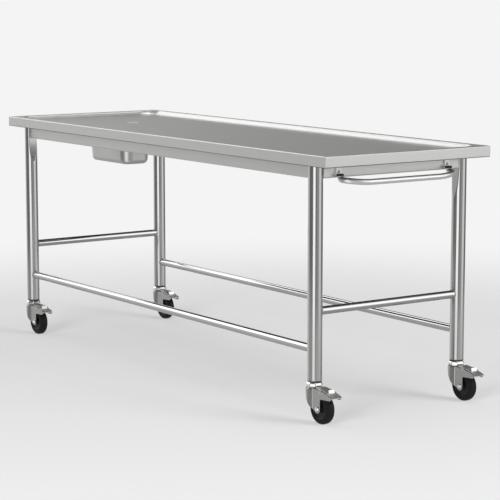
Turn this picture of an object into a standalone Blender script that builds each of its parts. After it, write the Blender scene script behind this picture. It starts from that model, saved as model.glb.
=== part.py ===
"""A mobile autopsy table in stainless steel.

A rimmed tray top stands on an apron frame with four braced tube legs on braked swivel castors.
A drain in the tray floor empties into a basin that slides on two runners, and a push handle hangs
under the other end. Metres, +Z up, +X towards the handle end and -Y towards the front long side.
"""

import math

import bmesh
import bpy
from mathutils import Matrix, Vector

# Clearances
GAP = 0.0003
BIG = 0.010

# Tray top, folded from one sheet
TRAY_LENGTH = 2.060
TRAY_WIDTH = 0.674
TABLE_HEIGHT = 0.850
TRAY_SHEET = 0.002
TRAY_DEPTH = 0.0155
TRAY_CORNER = 0.062
RIM_WIDTH = 0.025
FOLD_RADIUS = 0.003
COVE_RADIUS = 0.010
SKIRT_DEPTH = 0.0363
SKIRT_RETURN = 0.012
SKIRT_CORNER = 0.0035

# Legs, aprons and stretchers
LEG_DIAMETER = 0.048
LEG_WALL = 0.002
LEG_INSET_X = 0.103
LEG_INSET_Y = 0.0425
LEG_FLAT_DEPTH = 0.0074
LEG_FLAT_BELOW_APRON = 0.008
LEG_FLAT_RUN_OUT = 0.075
APRON_HEIGHT = 0.060
APRON_SHEET = 0.002
APRON_FLANGE = 0.020
SIDE_APRON_PROUD = 0.0122
END_APRON_PROUD = 0.018
STRETCHER_DIAMETER = 0.027
STRETCHER_WALL = 0.002
LONG_STRETCHER_HEIGHT = 0.2325
END_STRETCHER_HEIGHT = 0.3535

# Drain
DRAIN_INSET = 0.390
DRAIN_FLANGE_DIAMETER = 0.050
DRAIN_FLANGE_HEIGHT = 0.0018
DRAIN_FLANGE_EDGE = 0.001
DRAIN_BODY_DIAMETER = 0.044
DRAIN_BODY_WALL = 0.0017
DRAIN_BODY_DROP = 0.022
DRAIN_SEAT_DEPTH = 0.005
DRAIN_THROAT = 0.032
STRAINER_SHEET = 0.0015
STRAINER_HOLE = 0.0044
STRAINER_RINGS = ((5, 0.0072), (9, 0.0130))
STRAINER_KNOB_DIAMETER = 0.006
STRAINER_KNOB_HEIGHT = 0.004
GASKET_SHEET = 0.002
GASKET_WIDTH = 0.006
BACKNUT_HEIGHT = 0.008
BACKNUT_FLATS = 0.056

# Basin and its runners
BASIN_LENGTH = 0.292
BASIN_WIDTH = 0.134
BASIN_DEPTH = 0.131
BASIN_SHEET = 0.0015
BASIN_FLANGE = 0.014
BASIN_CORNER = 0.045
BASIN_FOOT_RADIUS = 0.018
BASIN_TAPER = 0.008
BASIN_BEYOND_DRAIN = 0.040
BASIN_BELOW_DRAIN = 0.003
RUNNER_SHEET = 0.002
RUNNER_PLAY = 0.0015
RUNNER_LIP = 0.010
RUNNER_FOOT = 0.016
RUNNER_OVERRUN = 0.006
BASIN_TRAVEL = 0.280

# Push handle and its brackets
HANDLE_DIAMETER = 0.019
HANDLE_INSET = 0.1155
HANDLE_REACH = 0.066
HANDLE_DROP = 0.063
HANDLE_FALL = 0.007
HANDLE_ELBOW = 0.012
HANDLE_CORNER = 0.040
HANDLE_SWEEP = 0.090
BRACKET_WIDTH = 0.025
BRACKET_TOP = 0.010
BRACKET_HEIGHT = 0.0435
BRACKET_SHEET = 0.005
BRACKET_SOCKET_WALL = 0.0018
BRACKET_SOCKET_HEIGHT = 0.006
BRACKET_SOCKET_ROOF = 0.0015
SCREW_DIAMETER = 0.005
SCREW_HEAD_DIAMETER = 0.009
SCREW_HEAD_HEIGHT = 0.0025
SCREW_SOCKET_FLATS = 0.004
SCREW_SOCKET_DEPTH = 0.0015
SCREW_LENGTH = 0.010
SCREW_PITCH = 0.019
SCREW_EDGE = 0.0125

# Castors
WHEEL_DIAMETER = 0.100
TYRE_WIDTH = 0.031
TYRE_THICKNESS = 0.014
TYRE_SHOULDER = 0.011
HUB_DIAMETER = 0.020
HUB_WEB = 0.022
RIM_THICKNESS = 0.006
AXLE_DIAMETER = 0.010
AXLE_HEAD_DIAMETER = 0.016
AXLE_HEAD_HEIGHT = 0.0035
CASTOR_TRAIL = 0.0415
FORK_SHEET = 0.003
FORK_SIDE_PLAY = 0.0025
FORK_ROOF_PLAY = 0.0092
FORK_ROOF_REACH = 0.031
FORK_STRUT_RADIUS = 0.0140
FORK_RAKE = 31.8
FORK_BEND = 0.0147
FORK_BROW_DEPTH = 0.010
FORK_BROW_REACH = 0.0195
FORK_BROW_SLOPE = 66.5
SWIVEL_DIAMETER = 0.057
HOOD_START = 0.047
HOOD_REACH = 0.112
HOOD_DEPTH = 0.028
HOOD_END_TOP = 0.014
HOOD_END_LOW = 0.0215
HOOD_RISE = 0.0025
HOOD_FILLET = 0.005
NUT_FACETS = 8
NUT_FLATS = 0.050
NUT_HEIGHT = 0.019
NUT_CHAMFER = 0.0055
NUT_TURN = -25.0
STEM_DIAMETER = 0.012
STEM_HEAD_DIAMETER = 0.022
STEM_HEAD_HEIGHT = 0.005
STEM_CONE_HEIGHT = 0.008
STEM_CONE_INSET = 0.003
EXPANDER_LENGTH = 0.042
PEDAL_SHEET = 0.0025
PEDAL_SIDE_PLAY = 0.0006
PEDAL_CHEEK_INSET = 0.0005
PEDAL_START = 0.032
PEDAL_REACH = 0.125
PEDAL_RISE = 0.0045
PEDAL_KNEE = 0.078
PEDAL_TOE = 0.116
PEDAL_TOE_DROP = 0.0157
PEDAL_LIP = 0.0015
PEDAL_PIVOT = 0.052
PEDAL_PIVOT_DROP = 0.0077
PEDAL_PIN_DIAMETER = 0.006
PEDAL_TAB_PLACE = 0.088
PEDAL_TAB_WIDTH = 0.022
PEDAL_TAB_HEIGHT = 0.0095
BRAKE_PLAY = 0.0042
BRAKE_BAR_DIAMETER = 0.008
BRAKE_BAR_ANGLE = 49.0

# Facets
ARC_STEPS = 5
ROUND_SIDES = 20
PIN_SIDES = 12
WHEEL_SIDES = 24
HUB_SIDES = 12
NUT_SIDES = 16
HIDDEN_SIDES = 12

# Finishes: colour, metallic, roughness
BRUSHED_STEEL = ((0.60, 0.60, 0.59), 1.0, 0.34)
TUBE_STEEL = ((0.56, 0.56, 0.55), 1.0, 0.28)
POLISHED_STEEL = ((0.74, 0.74, 0.73), 1.0, 0.16)
PRESSED_STEEL = ((0.45, 0.45, 0.44), 1.0, 0.38)
BLACK_RUBBER = ((0.012, 0.012, 0.012), 0.0, 0.62)
BLACK_PLASTIC = ((0.018, 0.018, 0.019), 0.0, 0.45)
GREY_RUBBER = ((0.10, 0.10, 0.10), 0.0, 0.70)

# Corners of the table, as signs along X and Y
CORNERS = {
    "front_left": (-1, -1),
    "front_right": (1, -1),
    "back_left": (-1, 1),
    "back_right": (1, 1),
}
SIDES = {"front": -1, "back": 1}
ENDS = {"left": -1, "right": 1}

# Places that follow from the driving dimensions
FLOOR_TOP = TABLE_HEIGHT - TRAY_DEPTH
FLOOR_UNDER = FLOOR_TOP - TRAY_SHEET
FRAME_TOP = FLOOR_UNDER - GAP
APRON_LOW = FRAME_TOP - APRON_HEIGHT
LEG_RADIUS = LEG_DIAMETER / 2
LEG_X = TRAY_LENGTH / 2 - LEG_INSET_X
LEG_Y = TRAY_WIDTH / 2 - LEG_INSET_Y
LEG_FLAT = LEG_RADIUS - LEG_FLAT_DEPTH
END_APRON_FACE = LEG_X + END_APRON_PROUD
SIDE_APRON_FACE = LEG_Y + SIDE_APRON_PROUD
HANDLE_SPAN = TRAY_WIDTH - 2 * HANDLE_INSET

WHEEL_RADIUS = WHEEL_DIAMETER / 2
FORK_INNER = TYRE_WIDTH / 2 + FORK_SIDE_PLAY
FORK_OUTER = FORK_INNER + FORK_SHEET
FORK_ROOF = WHEEL_DIAMETER + FORK_ROOF_PLAY + FORK_SHEET
NUT_LOW = FORK_ROOF + GAP
NUT_TOP = NUT_LOW + NUT_HEIGHT
LEG_LOW = NUT_TOP + GAP
PEDAL_PIVOT_HEIGHT = FORK_ROOF - PEDAL_PIVOT_DROP

DRAIN_X = DRAIN_INSET - TRAY_LENGTH / 2
DRAIN_LOW = FLOOR_UNDER - DRAIN_BODY_DROP
BASIN_TOP = DRAIN_LOW - BASIN_BELOW_DRAIN
BASIN_X = DRAIN_X + BASIN_BEYOND_DRAIN - BASIN_LENGTH / 2

# The pedals reach past the tray, so the tray stands off the middle of the whole table's box
PEDAL_OVERHANG = max(0.0, LEG_X + PEDAL_REACH - TRAY_LENGTH / 2)
TRAY_SHIFT = -PEDAL_OVERHANG / 2


def clear_scene():
    for thing in list(bpy.data.objects):
        bpy.data.objects.remove(thing, do_unlink=True)


def collection(name):
    made = bpy.data.collections.new(name)
    bpy.context.scene.collection.children.link(made)
    return made


clear_scene()
PARTS = collection("autopsy_table")
CUTTERS = collection("cutters")


def material(name, finish):
    colour, metallic, roughness = finish
    made = bpy.data.materials.new(name)
    made.use_nodes = True
    shader = made.node_tree.nodes["Principled BSDF"]
    shader.inputs["Base Color"].default_value = (*colour, 1.0)
    shader.inputs["Metallic"].default_value = metallic
    shader.inputs["Roughness"].default_value = roughness
    return made


def add_empty(name, place, parent=None):
    empty = bpy.data.objects.new(name, None)
    empty.location = place
    empty.parent = parent
    PARTS.objects.link(empty)
    return empty


def add_part(name, mesh, finish, parent, place=(0, 0, 0), turn=(0, 0, 0)):
    """A named piece of the table, with its own material, placed under its parent."""
    part = bpy.data.objects.new(name, mesh.copy())
    part.data.name = name
    part.data.materials.clear()
    part.data.materials.append(material(name, finish))
    part.data.set_sharp_from_angle(angle=math.radians(32))
    part.location = place
    part.rotation_euler = turn
    part.parent = parent
    PARTS.objects.link(part)
    return part


def mesh_from(shape):
    """A mesh from a bmesh, welded and with its faces pointing out."""
    bmesh.ops.remove_doubles(shape, verts=shape.verts, dist=1e-6)
    bmesh.ops.recalc_face_normals(shape, faces=shape.faces)
    for face in shape.faces:
        face.smooth = True
    mesh = bpy.data.meshes.new("shape")
    shape.to_mesh(mesh)
    shape.free()
    return mesh


def bench_object(data):
    """A working object on the bench, out of the finished table."""
    made = bpy.data.objects.new("work", data)
    made.hide_render = True
    made.display_type = "WIRE"
    CUTTERS.objects.link(made)
    return made


def baked(work, tools=()):
    """The mesh that a working object evaluates to; it and its tools leave the bench."""
    bpy.context.view_layer.update()
    evaluated = work.evaluated_get(bpy.context.evaluated_depsgraph_get())
    shape = bmesh.new()
    made = bpy.data.meshes.new_from_object(evaluated)
    shape.from_mesh(made)
    bpy.data.meshes.remove(made)
    for spent in (work, *tools):
        bpy.data.objects.remove(spent)
    return mesh_from(shape)


def combined(base, *steps):
    """A mesh that other meshes cut, join or trim in turn; a step is an operation and its mesh."""
    work = bench_object(base)
    tools = []
    for operation, mesh in steps:
        tool = bench_object(mesh)
        tools.append(tool)
        boolean = work.modifiers.new(operation, "BOOLEAN")
        boolean.operation = operation
        boolean.object = tool
    return baked(work, tools)


def moved(mesh, place=(0, 0, 0), turn=0.0):
    """A copy of a mesh, turned about Z in degrees and then moved."""
    copy = mesh.copy()
    copy.transform(Matrix.Translation(Vector(place)) @ Matrix.Rotation(math.radians(turn), 4, "Z"))
    return copy


AXIS_TURNS = {
    "X": Matrix(((0, 0, 1, 0), (1, 0, 0, 0), (0, 1, 0, 0), (0, 0, 0, 1))),
    "Y": Matrix.Rotation(math.radians(90), 4, "X"),
    "Z": Matrix.Identity(4),
}


def box(low, high):
    low, high = Vector(low), Vector(high)
    place = Matrix.Translation((low + high) / 2) @ Matrix.Diagonal((*(high - low), 1))
    shape = bmesh.new()
    bmesh.ops.create_cube(shape, size=1, matrix=place)
    return mesh_from(shape)


def cylinder(radius, low, high, place=(0, 0, 0), axis="Z", sides=ROUND_SIDES):
    """A cylinder from low to high along an axis through a place."""
    along = {"X": Vector((1, 0, 0)), "Y": Vector((0, 1, 0)), "Z": Vector((0, 0, 1))}[axis]
    centre = Vector(place) + along * (low + high) / 2
    shape = bmesh.new()
    bmesh.ops.create_cone(
        shape,
        cap_ends=True,
        segments=sides,
        radius1=radius,
        radius2=radius,
        depth=high - low,
        matrix=Matrix.Translation(centre) @ AXIS_TURNS[axis],
    )
    return mesh_from(shape)


def prism(outline, low, high, axis):
    """A flat outline pushed from low to high: (Y, Z) points along X, or (X, Z) points along Y."""
    curve = bpy.data.curves.new("outline", "CURVE")
    curve.dimensions = "2D"
    curve.fill_mode = "BOTH"
    curve.extrude = (high - low) / 2
    spline = curve.splines.new("POLY")
    spline.points.add(len(outline) - 1)
    for point, (across, up) in zip(spline.points, outline):
        point.co = (across, up, 0, 1)
    spline.use_cyclic_u = True
    mesh = baked(bench_object(curve))
    middle = {"X": ((low + high) / 2, 0, 0), "Y": (0, (low + high) / 2, 0)}[axis]
    mesh.transform(Matrix.Translation(middle) @ AXIS_TURNS[axis])
    return mesh


def turned(profile, sides, ring=False):
    """A profile of (radius, height) points turned about Z; a ring's profile is a closed loop."""
    shape = bmesh.new()
    points = [shape.verts.new((radius, 0, height)) for radius, height in profile]
    followers = points[1:] + points[:1] if ring else points[1:]
    for point, follower in zip(points, followers):
        shape.edges.new((point, follower))
    mesh = bpy.data.meshes.new("profile")
    shape.to_mesh(mesh)
    shape.free()
    work = bench_object(mesh)
    screw = work.modifiers.new("Turn", "SCREW")
    screw.axis = "Z"
    screw.steps = sides
    screw.render_steps = sides
    screw.use_merge_vertices = True
    screw.merge_threshold = 1e-5
    return baked(work)


def bar(path, diameter):
    """A round bar along a path of points, with flat ends."""
    curve = bpy.data.curves.new("bar", "CURVE")
    curve.dimensions = "3D"
    curve.bevel_depth = diameter / 2
    curve.bevel_resolution = 4
    curve.use_fill_caps = True
    spline = curve.splines.new("POLY")
    spline.points.add(len(path) - 1)
    for point, place in zip(spline.points, path):
        point.co = (*place, 1)
    return baked(bench_object(curve))


def arc(centre, radius, start, end, steps=ARC_STEPS):
    """Points of an arc in a plane, its angles in degrees."""
    angles = [math.radians(start + (end - start) * step / steps) for step in range(steps + 1)]
    return [
        (centre[0] + radius * math.cos(angle), centre[1] + radius * math.sin(angle))
        for angle in angles
    ]


def rounded_rectangle(half_x, half_y, radius, height):
    """A ring of points at one height, with the same count for any corner radius."""
    ring = []
    for quarter, (side_x, side_y) in enumerate(((1, 1), (-1, 1), (-1, -1), (1, -1))):
        centre = (side_x * (half_x - radius), side_y * (half_y - radius))
        ring += [(x, y, height) for x, y in arc(centre, radius, 90 * quarter, 90 * quarter + 90)]
    return ring


def lofted(rings):
    """A closed body through rings of equal counts, capped at its first and last ring."""
    shape = bmesh.new()
    loops = [[shape.verts.new(point) for point in ring] for ring in rings]
    for lower, upper in zip(loops, loops[1:]):
        for index in range(len(lower)):
            after = (index + 1) % len(lower)
            shape.faces.new((lower[index], lower[after], upper[after], upper[index]))
    shape.faces.new(loops[0])
    shape.faces.new(loops[-1])
    return mesh_from(shape)


def tray_profile():
    """The sheet's section as (inset from the outer edge, drop below the rim), floor to floor."""
    wall = RIM_WIDTH + FOLD_RADIUS
    back = FOLD_RADIUS - TRAY_SHEET
    cove_centre = (wall + COVE_RADIUS, COVE_RADIUS - TRAY_DEPTH)
    foot = FOLD_RADIUS - SKIRT_DEPTH
    top = arc(cove_centre, COVE_RADIUS, 270, 180, 3)
    top += arc((RIM_WIDTH, -FOLD_RADIUS), FOLD_RADIUS, 0, 90, 2)
    top += arc((FOLD_RADIUS, -FOLD_RADIUS), FOLD_RADIUS, 90, 180, 2)
    top += arc((FOLD_RADIUS, foot), FOLD_RADIUS, 180, 270, 2)
    top += [(SKIRT_RETURN, -SKIRT_DEPTH)]
    under = [(SKIRT_RETURN, TRAY_SHEET - SKIRT_DEPTH)]
    under += arc((FOLD_RADIUS, foot), back, 270, 180, 1)
    under += arc((FOLD_RADIUS, -FOLD_RADIUS), back, 180, 90, 1)
    under += arc((RIM_WIDTH, -FOLD_RADIUS), back, 90, 0, 1)
    under += arc(cove_centre, COVE_RADIUS + TRAY_SHEET, 180, 270, 3)
    return top + under


def tray_corner(inset):
    """The plan radius of a ring: nearly square outside the rim, wide inside it."""
    if inset > RIM_WIDTH - TRAY_SHEET:
        return TRAY_CORNER + RIM_WIDTH + FOLD_RADIUS - inset
    return max(SKIRT_CORNER - inset, TRAY_SHEET / 4)


def build_tray(root):
    rings = [
        rounded_rectangle(
            TRAY_LENGTH / 2 - inset, TRAY_WIDTH / 2 - inset, tray_corner(inset), TABLE_HEIGHT + drop
        )
        for inset, drop in tray_profile()
    ]
    hole = cylinder(
        DRAIN_BODY_DIAMETER / 2 + GAP, FLOOR_UNDER - BIG, FLOOR_TOP + BIG, place=(DRAIN_X, 0, 0)
    )
    add_part("tray_top", combined(lofted(rings), ("DIFFERENCE", hole)), BRUSHED_STEEL, root)


def apron_section(face, inwards):
    """A folded C section, its back on the face and its flanges pointing inwards."""
    back = face + inwards * APRON_SHEET
    lip = face + inwards * APRON_FLANGE
    low, high = APRON_LOW, FRAME_TOP
    return [
        (face, low),
        (lip, low),
        (lip, low + APRON_SHEET),
        (back, low + APRON_SHEET),
        (back, high - APRON_SHEET),
        (lip, high - APRON_SHEET),
        (lip, high),
        (face, high),
    ]


def bracket_screw_heights():
    lowest = FRAME_TOP - BRACKET_TOP - BRACKET_HEIGHT + SCREW_EDGE
    return {"low": lowest, "high": lowest + SCREW_PITCH}


def build_aprons(root):
    """Long aprons between the flats of the legs, and end aprons, one drilled for the brackets."""
    half_long = LEG_X - LEG_FLAT - GAP
    half_short = LEG_Y - LEG_FLAT - GAP
    for name, side in SIDES.items():
        section = apron_section(side * SIDE_APRON_FACE, -side)
        add_part(f"apron_{name}", prism(section, -half_long, half_long, "X"), BRUSHED_STEEL, root)
    for name, end in ENDS.items():
        section = apron_section(end * END_APRON_FACE, -end)
        mesh = prism(section, -half_short, half_short, "Y")
        if name == "right":
            mesh = combined(mesh, *bracket_holes(END_APRON_FACE - BIG, END_APRON_FACE + BIG))
        add_part(f"apron_{name}", mesh, BRUSHED_STEEL, root)


def bracket_holes(low, high, sides=tuple(SIDES.values())):
    """Cuts for the bracket screws along X, at each bracket."""
    return [
        (
            "DIFFERENCE",
            cylinder(
                SCREW_DIAMETER / 2 + GAP,
                low,
                high,
                place=(0, side * HANDLE_SPAN / 2, height),
                axis="X",
                sides=PIN_SIDES,
            ),
        )
        for side in sides
        for height in bracket_screw_heights().values()
    ]


def leg_limit(height):
    """How far the leg's wall stands from its axis on the pressed sides, at a height."""
    flat_low = APRON_LOW - LEG_FLAT_BELOW_APRON
    pressed = (height - flat_low + LEG_FLAT_RUN_OUT) / LEG_FLAT_RUN_OUT
    return LEG_RADIUS - LEG_FLAT_DEPTH * min(1.0, max(0.0, pressed))


def leg_mesh(side_x, side_y):
    """A round tube whose top is pressed flat on the two sides that face the table's middle."""
    shape = bmesh.new()
    bmesh.ops.create_cone(
        shape,
        cap_ends=False,
        segments=ROUND_SIDES,
        radius1=LEG_RADIUS,
        radius2=LEG_RADIUS,
        depth=FRAME_TOP - LEG_LOW,
        matrix=Matrix.Translation((0, 0, (FRAME_TOP + LEG_LOW) / 2)),
    )
    flat_low = APRON_LOW - LEG_FLAT_BELOW_APRON
    for height in (flat_low, flat_low - LEG_FLAT_RUN_OUT / 2, flat_low - LEG_FLAT_RUN_OUT):
        everything = shape.verts[:] + shape.edges[:] + shape.faces[:]
        bmesh.ops.bisect_plane(shape, geom=everything, plane_co=(0, 0, height), plane_no=(0, 0, 1))
    for vertex in shape.verts:
        limit = leg_limit(vertex.co.z)
        vertex.co.x = -side_x * min(limit, -side_x * vertex.co.x)
        vertex.co.y = -side_y * min(limit, -side_y * vertex.co.y)
    work = bench_object(mesh_from(shape))
    solidify = work.modifiers.new("Wall", "SOLIDIFY")
    solidify.thickness = LEG_WALL
    solidify.offset = -1
    solidify.use_even_offset = True
    return baked(work)


def build_legs(root):
    for name, (side_x, side_y) in CORNERS.items():
        place = (side_x * LEG_X, side_y * LEG_Y, 0)
        add_part(f"leg_{name}", leg_mesh(side_x, side_y), TUBE_STEEL, root, place)


def stretcher_mesh(axis, half_length, place):
    """A tube along an axis, its ends coped to the round of the legs."""
    radius = STRETCHER_DIAMETER / 2
    along = 0 if axis == "X" else 1
    tube = cylinder(radius, -half_length, half_length, place, axis)
    inside = cylinder(radius - STRETCHER_WALL, -half_length - BIG, half_length + BIG, place, axis)
    cuts = [("DIFFERENCE", inside)]
    for end in (-1, 1):
        leg_place = list(place)
        leg_place[along] = end * half_length
        leg_place[2] = 0
        low, high = place[2] - STRETCHER_DIAMETER, place[2] + STRETCHER_DIAMETER
        cuts.append(("DIFFERENCE", cylinder(LEG_RADIUS + GAP, low, high, leg_place)))
    return combined(tube, *cuts)


def build_stretchers(root):
    for name, side in SIDES.items():
        mesh = stretcher_mesh("X", LEG_X, (0, side * LEG_Y, LONG_STRETCHER_HEIGHT))
        add_part(f"stretcher_{name}", mesh, TUBE_STEEL, root)
    for name, end in ENDS.items():
        mesh = stretcher_mesh("Y", LEG_Y, (end * LEG_X, 0, END_STRETCHER_HEIGHT))
        add_part(f"stretcher_{name}", mesh, TUBE_STEEL, root)


def flat_prism(flats, low, high, facets=6):
    """A prism by its size across flats."""
    return cylinder(flats / 2 / math.cos(math.pi / facets), low, high, sides=facets)


def strainer_mesh():
    """A drilled disc with a lifting knob, its underside at height zero."""
    radius = DRAIN_BODY_DIAMETER / 2 - DRAIN_BODY_WALL - GAP
    knob = STRAINER_KNOB_DIAMETER / 2
    top = STRAINER_SHEET + STRAINER_KNOB_HEIGHT
    profile = [(0, top), (knob, top), (knob / 2, STRAINER_SHEET), (radius, STRAINER_SHEET)]
    profile += [(radius, 0), (0, 0)]
    cuts = []
    for count, ring_radius in STRAINER_RINGS:
        for index in range(count):
            angle = 2 * math.pi * index / count
            place = (ring_radius * math.cos(angle), ring_radius * math.sin(angle), 0)
            hole = cylinder(STRAINER_HOLE / 2, -BIG, BIG, place, sides=6)
            cuts.append(("DIFFERENCE", hole))
    return combined(turned(profile, ROUND_SIDES), *cuts)


def build_drain(root):
    """The waste in the tray floor: body, gasket, backnut and lift-out strainer."""
    centre = add_empty("drain_axis", (DRAIN_X, 0, FLOOR_TOP), root)
    flange = DRAIN_FLANGE_DIAMETER / 2
    outer = DRAIN_BODY_DIAMETER / 2
    cup = outer - DRAIN_BODY_WALL
    throat = DRAIN_THROAT / 2
    low = DRAIN_LOW - FLOOR_TOP
    body = [
        (cup, DRAIN_FLANGE_HEIGHT),
        (flange - DRAIN_FLANGE_EDGE, DRAIN_FLANGE_HEIGHT),
        (flange, DRAIN_FLANGE_HEIGHT - DRAIN_FLANGE_EDGE),
        (flange, GAP),
        (outer, GAP),
        (outer, low),
        (throat, low),
        (throat, -DRAIN_SEAT_DEPTH),
        (cup, -DRAIN_SEAT_DEPTH),
    ]
    add_part("drain_body", turned(body, ROUND_SIDES, ring=True), POLISHED_STEEL, centre)
    seat = (0, 0, GAP - DRAIN_SEAT_DEPTH)
    add_part("drain_strainer", strainer_mesh(), POLISHED_STEEL, centre, seat)

    bore = outer + GAP
    gasket_top = -TRAY_SHEET - GAP
    gasket_low = gasket_top - GASKET_SHEET
    gasket = [
        (bore + GASKET_WIDTH, gasket_top),
        (bore + GASKET_WIDTH, gasket_low),
        (bore, gasket_low),
        (bore, gasket_top),
    ]
    add_part("drain_gasket", turned(gasket, ROUND_SIDES, ring=True), GREY_RUBBER, centre)
    nut_top = gasket_low - GAP
    nut = flat_prism(BACKNUT_FLATS, nut_top - BACKNUT_HEIGHT, nut_top)
    thread = cylinder(bore, nut_top - BACKNUT_HEIGHT - BIG, nut_top + BIG)
    add_part("drain_backnut", combined(nut, ("DIFFERENCE", thread)), POLISHED_STEEL, centre)


def basin_rings():
    """Sections of the deep-drawn pan, up its outside, over the flange and down its inside."""
    half_x, half_y = BASIN_LENGTH / 2, BASIN_WIDTH / 2
    sheet, foot = BASIN_SHEET, BASIN_FOOT_RADIUS
    wall_low = foot - BASIN_DEPTH
    outside = arc((BASIN_TAPER + foot, wall_low), foot, 270, 180, 3)
    outside += [(0, -sheet), (-BASIN_FLANGE, -sheet), (-BASIN_FLANGE, 0)]
    inside = [(sheet, 0)]
    inside += arc((BASIN_TAPER + foot, wall_low), foot - sheet, 180, 270, 3)
    return [
        rounded_rectangle(half_x - inset, half_y - inset, BASIN_CORNER - inset, height)
        for inset, height in outside + inside
    ]


def runner_section(side):
    """A folded Z: a foot under the tray, a web beside the flange and a lip under it."""
    web = BASIN_WIDTH / 2 + BASIN_FLANGE + RUNNER_PLAY
    lip_top = BASIN_TOP - BASIN_SHEET - GAP
    lip_low = lip_top - RUNNER_SHEET
    section = [
        (web - RUNNER_LIP, lip_low),
        (web + RUNNER_SHEET, lip_low),
        (web + RUNNER_SHEET, FRAME_TOP - RUNNER_SHEET),
        (web + RUNNER_FOOT, FRAME_TOP - RUNNER_SHEET),
        (web + RUNNER_FOOT, FRAME_TOP),
        (web, FRAME_TOP),
        (web, lip_top),
        (web - RUNNER_LIP, lip_top),
    ]
    return [(side * across, up) for across, up in section]


def build_basin(root):
    add_part("basin", lofted(basin_rings()), BRUSHED_STEEL, root, (BASIN_X, 0, BASIN_TOP))
    reach = BASIN_LENGTH / 2 + BASIN_FLANGE + RUNNER_OVERRUN
    for name, side in SIDES.items():
        mesh = prism(runner_section(side), BASIN_X - reach, BASIN_X + BASIN_TRAVEL + reach, "X")
        add_part(f"basin_runner_{name}", mesh, BRUSHED_STEEL, root)


def handle_socket():
    """Where the handle's upright ends stand: X of their axes and the foot of the brackets."""
    radius = HANDLE_DIAMETER / 2 + GAP + BRACKET_SOCKET_WALL
    return END_APRON_FACE + GAP + radius, FRAME_TOP - BRACKET_TOP - BRACKET_HEIGHT


def handle_path():
    """Up one end, an elbow outwards, a long corner that falls to the grip, and back the same way."""
    socket_x, foot = handle_socket()
    grip_x = END_APRON_FACE + HANDLE_REACH
    low = FRAME_TOP - HANDLE_DROP - HANDLE_DIAMETER / 2
    end_height = foot + BRACKET_SOCKET_HEIGHT - BRACKET_SOCKET_ROOF - GAP
    half = HANDLE_SPAN / 2
    elbow_height = low + HANDLE_FALL + HANDLE_ELBOW
    elbow = arc((socket_x + HANDLE_ELBOW, elbow_height), HANDLE_ELBOW, 180, 270)
    first = [(socket_x, -half, end_height)]
    first += [(x, -half, z) for x, z in elbow]
    for out, along in arc((0, 0), 1, 270, 360, 7):
        x = grip_x - HANDLE_CORNER * (1 - out)
        y = HANDLE_SWEEP * (1 + along) - half
        first.append((x, y, low + HANDLE_FALL * along**2))
    return first + [(x, -y, z) for x, y, z in reversed(first)]


def bracket_mesh(side):
    """A screwed plate with a round socket at its foot for the end of the handle."""
    socket_x, foot = handle_socket()
    face = END_APRON_FACE + GAP
    middle = side * HANDLE_SPAN / 2
    plate = box(
        (face, middle - BRACKET_WIDTH / 2, foot),
        (face + BRACKET_SHEET, middle + BRACKET_WIDTH / 2, foot + BRACKET_HEIGHT),
    )
    bore = HANDLE_DIAMETER / 2 + GAP
    place = (socket_x, middle, 0)
    top = foot + BRACKET_SOCKET_HEIGHT
    socket = cylinder(bore + BRACKET_SOCKET_WALL, foot, top, place)
    hollow = cylinder(bore, foot - BIG, top - BRACKET_SOCKET_ROOF, place)
    holes = bracket_holes(face - BIG, face + BRACKET_SHEET + BIG, (side,))
    return combined(plate, ("UNION", socket), ("DIFFERENCE", hollow), *holes)


def screw_mesh():
    """A button-head screw along X, the underside of its head at zero and a hex socket in it."""
    head, shank = SCREW_HEAD_DIAMETER / 2, SCREW_DIAMETER / 2
    top = SCREW_HEAD_HEIGHT
    profile = [(0, top), (head * 0.6, top), (head, top / 2), (head, 0), (shank, 0)]
    profile += [(shank, -SCREW_LENGTH), (0, -SCREW_LENGTH)]
    socket = flat_prism(SCREW_SOCKET_FLATS, top - SCREW_SOCKET_DEPTH, top + BIG)
    mesh = combined(turned(profile, PIN_SIDES), ("DIFFERENCE", socket))
    mesh.transform(AXIS_TURNS["X"])
    return mesh


def build_handle(root):
    add_part("push_handle", bar(handle_path(), HANDLE_DIAMETER), POLISHED_STEEL, root)
    screw = screw_mesh()
    seat = END_APRON_FACE + BRACKET_SHEET + 2 * GAP
    for name, side in SIDES.items():
        add_part(f"handle_bracket_{name}", bracket_mesh(side), POLISHED_STEEL, root)
        for level, height in bracket_screw_heights().items():
            place = (seat, side * HANDLE_SPAN / 2, height)
            add_part(f"handle_screw_{name}_{level}", screw, POLISHED_STEEL, root, place)


def tyre_profile():
    """A ring with a flat crown and wide round shoulders."""
    half = TYRE_WIDTH / 2
    shoulder = arc((half - TYRE_SHOULDER, WHEEL_RADIUS - TYRE_SHOULDER), TYRE_SHOULDER, 90, 0, 2)
    shoulder += [(half, WHEEL_RADIUS - TYRE_THICKNESS + GAP)]
    lower = [(radius, -across) for across, radius in shoulder]
    upper = [(radius, across) for across, radius in reversed(shoulder)]
    return upper + lower


def hub_profile():
    """A bossed wheel centre with a thin web and a rim that the tyre sits on."""
    rim = WHEEL_RADIUS - TYRE_THICKNESS
    rim_half = TYRE_WIDTH / 2 - FORK_SIDE_PLAY / 2
    boss_half = FORK_INNER - GAP
    half = [
        (rim, rim_half),
        (rim - RIM_THICKNESS, rim_half),
        (rim - RIM_THICKNESS, HUB_WEB / 2),
        (HUB_DIAMETER / 2, HUB_WEB / 2),
        (HUB_DIAMETER / 2, boss_half),
        (AXLE_DIAMETER / 2 + GAP, boss_half),
    ]
    return [(radius, -across) for radius, across in half] + half[::-1]


def axle_profile():
    """A plain axle with a round head outside each cheek of the fork."""
    head, shaft = AXLE_HEAD_DIAMETER / 2, AXLE_DIAMETER / 2
    seat = FORK_OUTER + GAP
    tip = seat + AXLE_HEAD_HEIGHT
    half = [(0, tip), (head * 0.8, tip), (head, seat), (shaft, seat)]
    return half + [(radius, -across) for radius, across in reversed(half)]


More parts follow.
